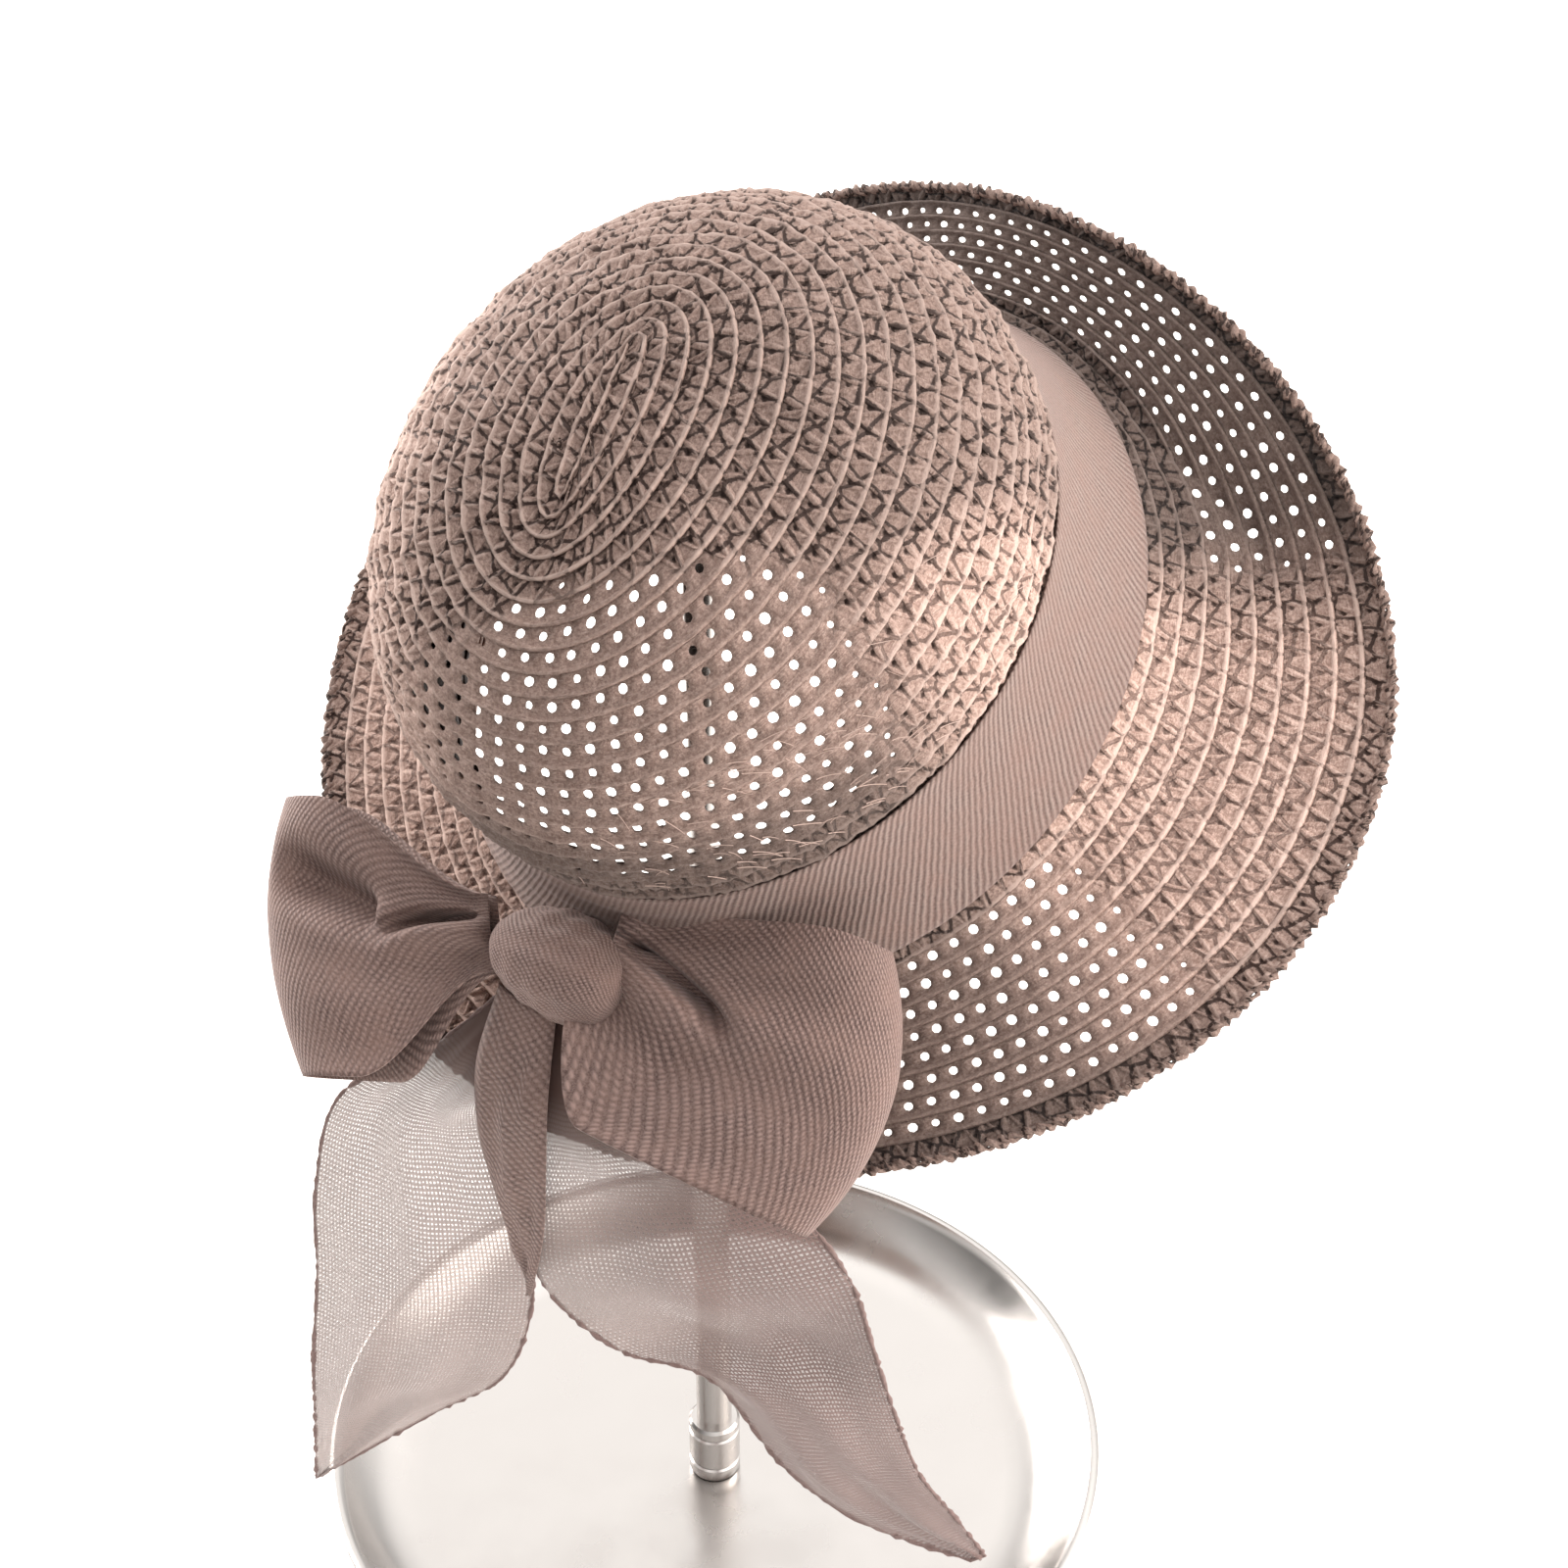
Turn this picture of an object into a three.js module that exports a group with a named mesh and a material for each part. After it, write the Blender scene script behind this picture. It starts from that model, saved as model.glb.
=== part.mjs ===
// Straw sun hat with a ribbon band and a bow, resting tipped back on a plain display stand.
// Units are millimetres, +Z is up, the origin is the centre of the stand base's underside.
import * as THREE from "three";

// Driving sizes.
const CROWN_HALF_WIDTH = 85.8;   // outer half width across the ears
const CROWN_HALF_LENGTH = 98.5;  // outer half length, front to back
const DOME_HEIGHT = 92.6;        // from the widest ring to the top of the dome
const WIDEST_Z = 18;             // height of the widest ring above the band's top edge
const DOME_POWER = 2.05;         // superellipse power of the dome
const STRAW_WALL = 2.0;
const BAND_HEIGHT = 53;
const BAND_WALL = 1.2;
const BAND_FLARE = 12.3;         // how far the band's lower edge stands out
const BAND_FLARE_POWER = 1.6;
const GAP = 0.35;
const SPLIT_Z = -40;             // crown and brim meet here, hidden by the band
const BRIM_DROP = 1.6;           // the brim turns outward this far below the band
const RIBBON_WIDTH = 80;          // the bow's ribbon, which the whole bow is sized by
const LOOP_WALL = 1.2;
const TAIL_WALL = 1.0;
const LEAN_BACK = 36;            // degrees, the hat tips back on its stand
const LEAN_SIDE = 13;            // degrees, and a little to one side
const HAT_SHIFT = [0.8, 12.6];   // centre of the band's top edge beside the post's axis
const SEAT_GAP = 0.905;          // height that the straw keeps above the rest
const BASE_RADIUS = 128;
const BASE_FLOOR = 4;
const BASE_RIM_HEIGHT = 20;
const POST_RADIUS = 5.8;
const COLLAR_RADIUS = 8.4;
const COLLAR_HEIGHT = 24;
const REST_RADIUS = 24;
const REST_THICK = 12;
const REST_TOP = 466.9;

// Rim of the brim, beyond the crown's outer ellipse: sums of cosines and sines of the
// angle from the front, then the turned-up front added.
const RIM_OUT = { mean: 64.3, cos1: -3.3, cos2: -10.7, cos3: -3.8, sin1: 3.2, sin2: 4.8 };
const RIM_Z = { mean: -80.3, cos1: -8.7, cos2: 4.7, cos3: 0, sin1: 0, sin2: 0 };
const TURN_UP = { height: 42, halfAngle: 62, power: 1.3 };
const CREASE = {
  out: 17, spread: 45, fullAngle: 45.5, power: 4.2, share: 0.38, fadeFrom: 32, fadeTo: 56,
};

// The knot: its angle from the front and its drop below the band's top edge, as a share of
// the band, then its half sizes and its distance from the band in ribbon widths.
const KNOT = { angle: 169.28, drop: 0.4528, across: 0.225, outward: 0.1875, high: 0.175, standOff: 0.02 };

// Each bow loop, in ribbon widths from the knot along the hat's axes: where it leaves the
// knot, where its end lies, and how wide it opens. side is the direction of its width, and
// the pleat columns shape the folds that run out of the knot.
const LOOPS = [
  { name: "bow_loop_left", root: [-0.265, -0.0625, 0.0375], tip: [-0.9575, -0.5625, -0.05],
    side: [59, -60, -12], halfRoot: 0.1125, halfInner: 0.475, halfOuter: 0.525,
    spreadInner: 0.85, spreadOuter: 0.75, puff: 0, thick: 0.1375, rootGap: 0.0325,
    pleat: 0.0625, pleats: 1.5, bulge: 0.10, sag: 0.0375 },
  { name: "bow_loop_right", root: [0.2125, 0.1112, 0.0488], tip: [1.255, 0.3812, -0.15],
    side: [28, -72, -10], halfRoot: 0.1, halfInner: 0.4625, halfOuter: 0.5125,
    spreadInner: 1.15, spreadOuter: 0.35, puff: 0.275, thick: 0.1375, rootGap: 0.0325,
    pleat: 0.0625, pleats: 1.5, bulge: 0.14, sag: 0.025 },
];

// Each bow tail, in ribbon widths from the knot along the stand's axes: one row for each
// station down the ribbon, its two edges, and how far its middle bellies out.
const TAILS = [
  { name: "bow_tail_left", rows: [
    { edgeA: [-0.144, -0.086, -0.173], edgeB: [-0.019, -0.049, -0.185], belly: 0.013 },
    { edgeA: [-0.344, -0.289, -0.479], edgeB: [-0.069, -0.239, -0.529], belly: 0.025 },
    { edgeA: [-0.594, -0.551, -0.754], edgeB: [-0.081, -0.239, -0.729], belly: 0.05 },
    { edgeA: [-0.669, -0.651, -1.204], edgeB: [-0.006, -0.164, -1.229], belly: 0.075 },
    { edgeA: [-0.694, -0.676, -1.679], edgeB: [-0.006, -0.164, -1.642], belly: 0.087 },
    { edgeA: [-0.731, -0.714, -2.154], edgeB: [-0.119, -0.239, -2.054], belly: 0.063 },
    { edgeA: [-0.756, -0.726, -2.529], edgeB: [-0.356, -0.426, -2.342], belly: 0.037 },
    { edgeA: [-0.781, -0.739, -2.879], edgeB: [-0.744, -0.714, -2.829], belly: 0 },
  ] },
  { name: "bow_tail_right", rows: [
    { edgeA: [0.013, -0.051, -0.189], edgeB: [0.131, -0.001, -0.177], belly: 0.013 },
    { edgeA: [0.119, -0.226, -0.504], edgeB: [0.469, 0.061, -0.479], belly: 0.037 },
    { edgeA: [0.156, -0.239, -0.904], edgeB: [0.844, 0.349, -0.704], belly: 0.063 },
    { edgeA: [0.169, -0.226, -1.304], edgeB: [1.031, 0.511, -1.054], belly: 0.087 },
    { edgeA: [0.381, -0.051, -1.604], edgeB: [1.106, 0.574, -1.404], belly: -0.075 },
    { edgeA: [0.644, 0.186, -1.704], edgeB: [1.169, 0.636, -1.754], belly: 0.063 },
    { edgeA: [0.844, 0.361, -2.117], edgeB: [1.244, 0.699, -2.054], belly: 0.05 },
    { edgeA: [1.069, 0.561, -2.379], edgeB: [1.344, 0.799, -2.279], belly: 0.025 },
    { edgeA: [1.394, 0.836, -2.504], edgeB: [1.431, 0.874, -2.467], belly: 0 },
  ] },
];

// Stand profiles: [radius, z] rows, turned round the post's axis.
const BASE_ROWS = [
  [0, 0], [BASE_RADIUS * 0.8125, 0], [BASE_RADIUS * 0.9375, BASE_RIM_HEIGHT * 0.25],
  [BASE_RADIUS * 0.992, BASE_RIM_HEIGHT * 0.85], [BASE_RADIUS, BASE_RIM_HEIGHT * 0.95],
  [BASE_RADIUS * 0.984, BASE_RIM_HEIGHT], [BASE_RADIUS * 0.961, BASE_RIM_HEIGHT * 0.875],
  [BASE_RADIUS * 0.891, BASE_FLOOR + (BASE_RIM_HEIGHT - BASE_FLOOR) * 0.3125],
  [BASE_RADIUS * 0.797, BASE_FLOOR], [0, BASE_FLOOR],
];
const POST_TOP = REST_TOP - REST_THICK;
const POST_ROWS = [[0, BASE_FLOOR + GAP], [POST_RADIUS, BASE_FLOOR + GAP], [POST_RADIUS, POST_TOP], [0, POST_TOP]];
const COLLAR_EDGE = (COLLAR_RADIUS - POST_RADIUS) * 0.3;
const COLLAR_ROWS = [
  [POST_RADIUS + GAP, BASE_FLOOR + GAP], [COLLAR_RADIUS, BASE_FLOOR + GAP],
  [COLLAR_RADIUS, BASE_FLOOR + COLLAR_HEIGHT - COLLAR_EDGE],
  [COLLAR_RADIUS - COLLAR_EDGE, BASE_FLOOR + COLLAR_HEIGHT], [POST_RADIUS + GAP, BASE_FLOOR + COLLAR_HEIGHT],
];
const REST_ROWS = [
  [0, POST_TOP + GAP], [REST_RADIUS * 0.875, POST_TOP + GAP], [REST_RADIUS, POST_TOP + REST_THICK * 0.25],
  [REST_RADIUS * 0.9375, POST_TOP + REST_THICK * 0.5], [REST_RADIUS * 0.66, REST_TOP - REST_THICK * 0.142],
  [REST_RADIUS * 0.33, REST_TOP - REST_THICK * 0.033], [0, REST_TOP],
];

// Frames.
const hatTurn = new THREE.Matrix4()
  .makeRotationX(THREE.MathUtils.degToRad(LEAN_BACK))
  .multiply(new THREE.Matrix4().makeRotationY(THREE.MathUtils.degToRad(LEAN_SIDE)));
const hatUnturn = hatTurn.clone().invert();

// Height of the dome's underside above the hat's centre, on an upright line beside it.
function undersideHeight(x, y) {
  let low = 0;
  let high = 2 * (DOME_HEIGHT + WIDEST_Z);
  for (let step = 0; step < 40; step += 1) {
    const middle = (low + high) / 2;
    const q = new THREE.Vector3(x, y, middle).applyMatrix4(hatUnturn);
    const across = Math.hypot(q.x / (CROWN_HALF_WIDTH - STRAW_WALL), q.y / (CROWN_HALF_LENGTH - STRAW_WALL));
    const up = Math.max(0, q.z - WIDEST_Z) / (DOME_HEIGHT - STRAW_WALL);
    if (Math.pow(across, DOME_POWER) + Math.pow(up, DOME_POWER) < 1) low = middle;
    else high = middle;
  }
  return low;
}

// The dome lies on the rest, so the hat hangs as high as the rest's nearest point lets it.
function seatHeight() {
  let least = Infinity;
  for (const [radius, z] of REST_ROWS) {
    for (let turn = 0; turn < 360; turn += 5) {
      const a = THREE.MathUtils.degToRad(turn);
      const above = undersideHeight(radius * Math.cos(a) - HAT_SHIFT[0], radius * Math.sin(a) - HAT_SHIFT[1]);
      least = Math.min(least, above - (z - REST_TOP));
    }
  }
  return REST_TOP + SEAT_GAP - least;
}

const hatPlace = new THREE.Matrix4().makeTranslation(...HAT_SHIFT, seatHeight()).multiply(hatTurn);

function onHat(x, y, z) {
  return new THREE.Vector3(x, y, z).applyMatrix4(hatPlace);
}

function smooth(a, b, x) {
  const t = Math.min(1, Math.max(0, (x - a) / (b - a)));
  return t * t * (3 - 2 * t);
}

function harmonics(c, phi) {
  return c.mean + c.cos1 * Math.cos(phi) + c.cos2 * Math.cos(2 * phi) + c.cos3 * Math.cos(3 * phi)
    + c.sin1 * Math.sin(phi) + c.sin2 * Math.sin(2 * phi);
}

// Point on a ring that stands `out` beyond the crown's ellipse; phi is 0 at the front.
function ringPoint(out, phi, z, shrink = 1) {
  return onHat(
    (CROWN_HALF_WIDTH * shrink + out) * Math.sin(phi),
    (CROWN_HALF_LENGTH * shrink + out) * Math.cos(phi),
    z,
  );
}

// Closed walls from a grid of surface points.
function closedGeometry(positions, indices) {
  const geometry = new THREE.BufferGeometry();
  geometry.setAttribute("position", new THREE.Float32BufferAttribute(positions, 3));
  let volume = 0;
  const p = positions;
  for (let k = 0; k < indices.length; k += 3) {
    const [a, b, c] = [indices[k] * 3, indices[k + 1] * 3, indices[k + 2] * 3];
    volume += p[a] * (p[b + 1] * p[c + 2] - p[b + 2] * p[c + 1])
      - p[a + 1] * (p[b] * p[c + 2] - p[b + 2] * p[c])
      + p[a + 2] * (p[b] * p[c + 1] - p[b + 1] * p[c]);
  }
  if (volume < 0) {
    for (let k = 0; k < indices.length; k += 3) {
      [indices[k + 1], indices[k + 2]] = [indices[k + 2], indices[k + 1]];
    }
  }
  geometry.setIndex(indices);
  geometry.computeVertexNormals();
  return geometry;
}

// surface(i, j) gives the outer face; the wall grows from it by `wall` against the normal.
// Rings (wrap) run over i and may close to a pole at j = 0; strips are open on both sides.
function wallFromGrid(surface, ni, nj, wall, { wrap = false, pole = false, centred = false } = {}) {
  const cols = wrap ? ni : ni + 1;
  const point = [];
  for (let j = 0; j <= nj; j += 1) {
    for (let i = 0; i < cols; i += 1) point.push(surface(i / ni, j / nj));
  }
  const at = (i, j) => point[j * cols + (wrap ? (i + ni) % ni : Math.min(cols - 1, Math.max(0, i)))];
  const positions = [];
  const side = [0, wall];
  const shift = centred ? wall / 2 : 0;
  const index = [];
  for (const depth of side) {
    const layer = [];
    for (let j = 0; j <= nj; j += 1) {
      for (let i = 0; i < cols; i += 1) {
        const du = at(i + 1, j).clone().sub(at(i - 1, j));
        const jn = Math.min(nj, j + 1);
        const jp = Math.max(0, j - 1);
        let dv = at(i, jn).clone().sub(at(i, jp));
        let normal = du.cross(dv).normalize();
        if (pole && j === 0) {
          const across = at(0, 1).clone().sub(at(ni / 2, 1));
          const along = at(ni / 4, 1).clone().sub(at((3 * ni) / 4, 1));
          normal = along.cross(across).normalize();
          dv = null;
        }
        const q = at(i, j).clone().addScaledVector(normal, shift - depth);
        layer.push(positions.length / 3);
        positions.push(q.x, q.y, q.z);
        if (pole && j === 0) break;
      }
    }
    index.push(layer);
  }
  const id = (s, i, j) => {
    const k = wrap ? (i + ni) % ni : i;
    if (!pole) return index[s][j * cols + k];
    return j === 0 ? index[s][0] : index[s][1 + (j - 1) * cols + k];
  };
  const faces = [];
  const quad = (a, b, c, d) => {
    if (a !== b && b !== c && a !== c) faces.push(a, b, c);
    if (a !== c && c !== d && a !== d) faces.push(a, c, d);
  };
  for (let j = 0; j < nj; j += 1) {
    for (let i = 0; i < ni; i += 1) {
      quad(id(0, i, j), id(0, i + 1, j), id(0, i + 1, j + 1), id(0, i, j + 1));
      quad(id(1, i, j + 1), id(1, i + 1, j + 1), id(1, i + 1, j), id(1, i, j));
    }
  }
  for (let i = 0; i < ni; i += 1) {
    quad(id(0, i, nj), id(0, i + 1, nj), id(1, i + 1, nj), id(1, i, nj));
    if (!pole) quad(id(1, i, 0), id(1, i + 1, 0), id(0, i + 1, 0), id(0, i, 0));
  }
  if (!wrap) {
    for (let j = 0; j < nj; j += 1) {
      quad(id(0, 0, j), id(0, 0, j + 1), id(1, 0, j + 1), id(1, 0, j));
      quad(id(1, ni, j), id(1, ni, j + 1), id(0, ni, j + 1), id(0, ni, j));
    }
  }
  return closedGeometry(positions, faces);
}

// Hat profiles.
function bandOut(z) {
  return -0.5 + BAND_FLARE * Math.pow(Math.max(0, -z) / BAND_HEIGHT, BAND_FLARE_POWER);
}

function strawUnderBand(z) {
  const slope = BAND_FLARE * BAND_FLARE_POWER / BAND_HEIGHT;
  return bandOut(z) - (BAND_WALL + GAP) * Math.hypot(1, slope);
}

// Heights of the crown's rows from its widest ring down to its edge under the band. The
// straw steps in just above the band's top edge.
const CROWN_ROWS = [WIDEST_Z, 2.4, 0.5, SPLIT_Z / 4, SPLIT_Z / 2, SPLIT_Z * 0.75, SPLIT_Z];
const DOME_ROWS = 10;

// Crown from the pole (v = 0) over the dome and down under the band (v = 1).
function crownSurface(u, v) {
  const phi = u * 2 * Math.PI;
  const row = v * (DOME_ROWS + CROWN_ROWS.length - 1);
  if (row <= DOME_ROWS) {
    const s = (1 - row / DOME_ROWS) * Math.PI / 2;
    const shrink = Math.pow(Math.cos(s), 2 / DOME_POWER);
    return ringPoint(0, phi, WIDEST_Z + DOME_HEIGHT * Math.pow(Math.sin(s), 2 / DOME_POWER), shrink);
  }
  const z = CROWN_ROWS[Math.round(row) - DOME_ROWS];
  const bulge = -0.4 * (1 - z / WIDEST_Z);
  return ringPoint(z > 1 ? bulge : strawUnderBand(Math.min(0, z)), phi, z);
}

function rimAt(phi) {
  const turned = Math.atan2(Math.sin(phi), Math.cos(phi));
  const share = Math.min(1, Math.abs(turned) / THREE.MathUtils.degToRad(TURN_UP.halfAngle));
  const lift = TURN_UP.height * Math.pow(Math.max(0, Math.cos(share * Math.PI / 2)), TURN_UP.power);
  return [harmonics(RIM_OUT, phi), harmonics(RIM_Z, phi) + lift];
}

function bezier(p, q, r, s, t) {
  const m = 1 - t;
  return [0, 1].map((k) => m * m * m * p[k] + 3 * m * m * t * q[k] + 3 * m * t * t * r[k] + t * t * t * s[k]);
}

// Brim profile: [out, z] for the share v from its hidden upper edge to the rim.
function brimProfile(phi, v) {
  if (v < BRIM_LIP) {
    const z = SPLIT_Z - GAP + (-BAND_HEIGHT - BRIM_DROP - SPLIT_Z + GAP) * (v / BRIM_LIP);
    return [strawUnderBand(Math.max(z, -BAND_HEIGHT)), z];
  }
  const t = (v - BRIM_LIP) / (1 - BRIM_LIP);
  const start = [strawUnderBand(-BAND_HEIGHT), -BAND_HEIGHT - BRIM_DROP];
  const rim = rimAt(phi);
  const reach = Math.hypot(rim[0] - start[0], rim[1] - start[1]);
  const dip = -0.30 - 0.25 * Math.cos(phi * 2);
  const plain = bezier(
    start,
    [start[0] + 0.12 * reach, start[1] - 0.26 * reach],
    [rim[0] - 0.42 * reach, rim[1] + (0.08 + 0.3 * dip) * reach],
    rim, t,
  );
  const turned = Math.abs(THREE.MathUtils.radToDeg(Math.atan2(Math.sin(phi), Math.cos(phi))));
  const flap = 1 - smooth(CREASE.fadeFrom, CREASE.fadeTo, turned);
  if (flap === 0) return plain;
  const creaseOut = CREASE.out + CREASE.spread * Math.pow(Math.min(1, turned / CREASE.fullAngle), CREASE.power);
  const crease = [creaseOut, -BAND_HEIGHT - 2 - (creaseOut - 11) * 0.75];
  const folded = t < CREASE.share
    ? [0, 1].map((k) => start[k] + (crease[k] - start[k]) * (t / CREASE.share))
    : [0, 1].map((k) => crease[k] + (rim[k] - crease[k]) * ((t - CREASE.share) / (1 - CREASE.share)));
  return [0, 1].map((k) => plain[k] + (folded[k] - plain[k]) * flap);
}

// Shares of the brim profile where its rows lie; the lip is level with the band's edge and
// the row at the crease carries the fold of the turned-up front.
const BRIM_LIP = 0.12;
const BRIM_CREASE = BRIM_LIP + (1 - BRIM_LIP) * CREASE.share;
const BRIM_ROWS = [0, 0.06, BRIM_LIP, 0.20, 0.29, 0.37, BRIM_CREASE, 0.55, 0.67, 0.83, 1];

function brimSurface(u, v) {
  const phi = u * 2 * Math.PI;
  const [out, z] = brimProfile(phi, BRIM_ROWS[Math.round(v * (BRIM_ROWS.length - 1))]);
  return ringPoint(out, phi, z);
}

function bandSurface(u, v) {
  const phi = u * 2 * Math.PI;
  const z = -BAND_HEIGHT * v;
  return ringPoint(bandOut(z), phi, z);
}

// Bow.
const knotZ = -KNOT.drop * BAND_HEIGHT;
const knotOut = bandOut(knotZ) + (KNOT.outward + KNOT.standOff) * RIBBON_WIDTH;
const knotAngle = THREE.MathUtils.degToRad(KNOT.angle);
const knotOnHat = new THREE.Vector3(
  (CROWN_HALF_WIDTH + knotOut) * Math.sin(knotAngle),
  (CROWN_HALF_LENGTH + knotOut) * Math.cos(knotAngle),
  knotZ,
);
const knotPlace = onHat(...knotOnHat);

function knotGeometry() {
  const around = 20;
  const along = 10;
  const positions = [];
  const faces = [];
  const ex = onHat(1, 0.2, 0).sub(onHat(0, 0, 0)).normalize();
  const ez = onHat(0, 0, 1).sub(onHat(0, 0, 0));
  const ey = ez.clone().cross(ex).normalize();
  for (let j = 0; j <= along; j += 1) {
    const lat = -Math.PI / 2 + (j / along) * Math.PI;
    for (let i = 0; i < around; i += 1) {
      const lon = (i / around) * 2 * Math.PI;
      const pleat = 1 + 0.05 * Math.cos(3 * lon + 0.6) * Math.cos(lat);
      const c = Math.sign(Math.cos(lat)) * Math.pow(Math.abs(Math.cos(lat)), 0.7) * pleat;
      const q = knotPlace.clone()
        .addScaledVector(ex, RIBBON_WIDTH * KNOT.across * Math.sin(lat))
        .addScaledVector(ey, RIBBON_WIDTH * KNOT.outward * c * Math.cos(lon))
        .addScaledVector(ez, RIBBON_WIDTH * KNOT.high * c * Math.sin(lon));
      positions.push(q.x, q.y, q.z);
      if (j === 0 || j === along) break;
    }
  }
  const id = (i, j) => (j === 0 ? 0 : j === along ? 1 + (along - 1) * around : 1 + (j - 1) * around + (i % around));
  for (let j = 0; j < along; j += 1) {
    for (let i = 0; i < around; i += 1) {
      const [a, b, c, d] = [id(i, j), id(i + 1, j), id(i + 1, j + 1), id(i, j + 1)];
      if (a !== b) faces.push(a, b, c);
      if (c !== d) faces.push(a, c, d);
    }
  }
  return closedGeometry(positions, faces);
}

// A loop is one ribbon that runs out of the knot, turns at the end and comes back below.
function loopSurface(loop) {
  const root = new THREE.Vector3(...loop.root).multiplyScalar(RIBBON_WIDTH).add(knotOnHat);
  const out = new THREE.Vector3(...loop.tip).multiplyScalar(RIBBON_WIDTH).add(knotOnHat).sub(root);
  const length = out.length();
  out.normalize();
  const side = new THREE.Vector3(...loop.side).normalize();
  const up = side.clone().cross(out).normalize();
  if (up.z < 0) up.negate();
  return (u, v) => {
    const w = 2 * u - 1;
    const angle = v * Math.PI;
    const reach = Math.pow(Math.sin(angle), 0.8);
    const run = length * reach * (1 - loop.bulge * w * w * reach);
    const open = loop.rootGap * Math.cos(angle) + loop.thick * Math.sin(2 * angle);
    const inner = loop.halfRoot + (loop.halfInner - loop.halfRoot) * smooth(0, loop.spreadInner, reach);
    const outer = loop.halfRoot + (loop.halfOuter - loop.halfRoot) * smooth(0, loop.spreadOuter, reach);
    const half = w < 0 ? inner : outer;
    const back = loop.puff * Math.max(0, w) ** 2 * Math.sin(Math.PI * Math.pow(reach, 0.6));
    const gather = Math.pow(1 - reach, 1.5) * Math.sin(Math.min(1, reach * 6) * Math.PI / 2);
    const pleat = loop.pleat * gather * Math.cos(loop.pleats * Math.PI * w) * Math.cos(angle);
    const p = root.clone()
      .addScaledVector(out, run - RIBBON_WIDTH * back)
      .addScaledVector(side, RIBBON_WIDTH * half * w)
      .addScaledVector(up, RIBBON_WIDTH * (open + pleat - loop.sag * w * w * reach));
    return onHat(p.x, p.y, p.z);
  };
}

// Catmull-Rom through the rows of a table.
function rowAt(rows, v) {
  const span = v * (rows.length - 1);
  const k = Math.min(rows.length - 2, Math.floor(span));
  const t = span - k;
  const pick = (i) => rows[Math.min(rows.length - 1, Math.max(0, i))];
  const blend = (get) => {
    const [a, b, c, d] = [get(pick(k - 1)), get(pick(k)), get(pick(k + 1)), get(pick(k + 2))];
    return 0.5 * (2 * b + (c - a) * t + (2 * a - 5 * b + 4 * c - d) * t * t + (3 * b - a - 3 * c + d) * t * t * t);
  };
  return {
    a: new THREE.Vector3(...[0, 1, 2].map((n) => blend((r) => r.edgeA[n]))),
    b: new THREE.Vector3(...[0, 1, 2].map((n) => blend((r) => r.edgeB[n]))),
    belly: blend((r) => r.belly),
  };
}

function tailSurface(tail) {
  return (u, v) => {
    const row = rowAt(tail.rows, v);
    const face = row.b.clone().sub(row.a).cross(new THREE.Vector3(0, 0, 1)).normalize();
    return row.a.clone().lerp(row.b, u).addScaledVector(face, row.belly * Math.sin(u * Math.PI))
      .multiplyScalar(RIBBON_WIDTH).add(knotPlace);
  };
}

// Stand.
function turned(rows, sides) {
  const points = rows.map(([radius, z]) => new THREE.Vector3(radius, 0, z));
  const positions = [];
  const faces = [];
  const start = [];
  for (const p of points) {
    start.push(positions.length / 3);
    const count = p.x < 1e-6 ? 1 : sides;
    for (let i = 0; i < count; i += 1) {
      const a = (i / sides) * 2 * Math.PI;
      positions.push(p.x * Math.cos(a), p.x * Math.sin(a), p.z);
    }
  }
  const id = (k, i) => start[k] + (points[k].x < 1e-6 ? 0 : i % sides);
  const last = points.length;
  const closes = points[0].x > 1e-6;
  for (let k = 0; k < (closes ? last : last - 1); k += 1) {
    const n = (k + 1) % last;
    for (let i = 0; i < sides; i += 1) {
      const [a, b, c, d] = [id(k, i), id(k, i + 1), id(n, i + 1), id(n, i)];
      if (a !== b) faces.push(a, b, c);
      if (c !== d) faces.push(a, c, d);
    }
  }
  return closedGeometry(positions, faces);
}

// Assembly.
function finish(name, color, roughness, metalness = 0) {
  return new THREE.MeshStandardMaterial({ name, color, roughness, metalness });
}
const straw = finish("paper straw", 0x8f7468, 0.9);
const ribbon = finish("mauve ribbon", 0x8c7070, 0.85);
const chrome = finish("polished metal", 0xd8d8d8, 0.12, 1);

const group = new THREE.Group();
group.name = "straw_hat_on_stand";
function add(name, geometry, material) {
  const mesh = new THREE.Mesh(geometry, material);
  mesh.name = name;
  group.add(mesh);
}

const AROUND = 56;
const crownRows = DOME_ROWS + CROWN_ROWS.length - 1;
add("crown", wallFromGrid(crownSurface, AROUND, crownRows, STRAW_WALL, { wrap: true, pole: true }), straw);
add("brim", wallFromGrid(brimSurface, AROUND, BRIM_ROWS.length - 1, STRAW_WALL, { wrap: true }), straw);
add("ribbon_band", wallFromGrid(bandSurface, AROUND, 5, BAND_WALL, { wrap: true }), ribbon);
add("bow_knot", knotGeometry(), ribbon);
for (const loop of LOOPS) {
  add(loop.name, wallFromGrid(loopSurface(loop), 8, 20, LOOP_WALL, { centred: true }), ribbon);
}
for (const tail of TAILS) {
  add(tail.name, wallFromGrid(tailSurface(tail), 6, 14, TAIL_WALL, { centred: true }), ribbon);
}
add("stand_base", turned(BASE_ROWS, AROUND), chrome);
add("stand_collar", turned(COLLAR_ROWS, 24), chrome);
add("stand_post", turned(POST_ROWS, 24), chrome);
add("stand_rest", turned(REST_ROWS, 32), chrome);

export default group;
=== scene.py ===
"""Openwork straw sun hat with a sheer ribbon band and bow, tipped back on a polished post stand.

Everything is in metres in the frame of the stand: +Z is up and the origin is under the post.
"""

import math

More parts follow.
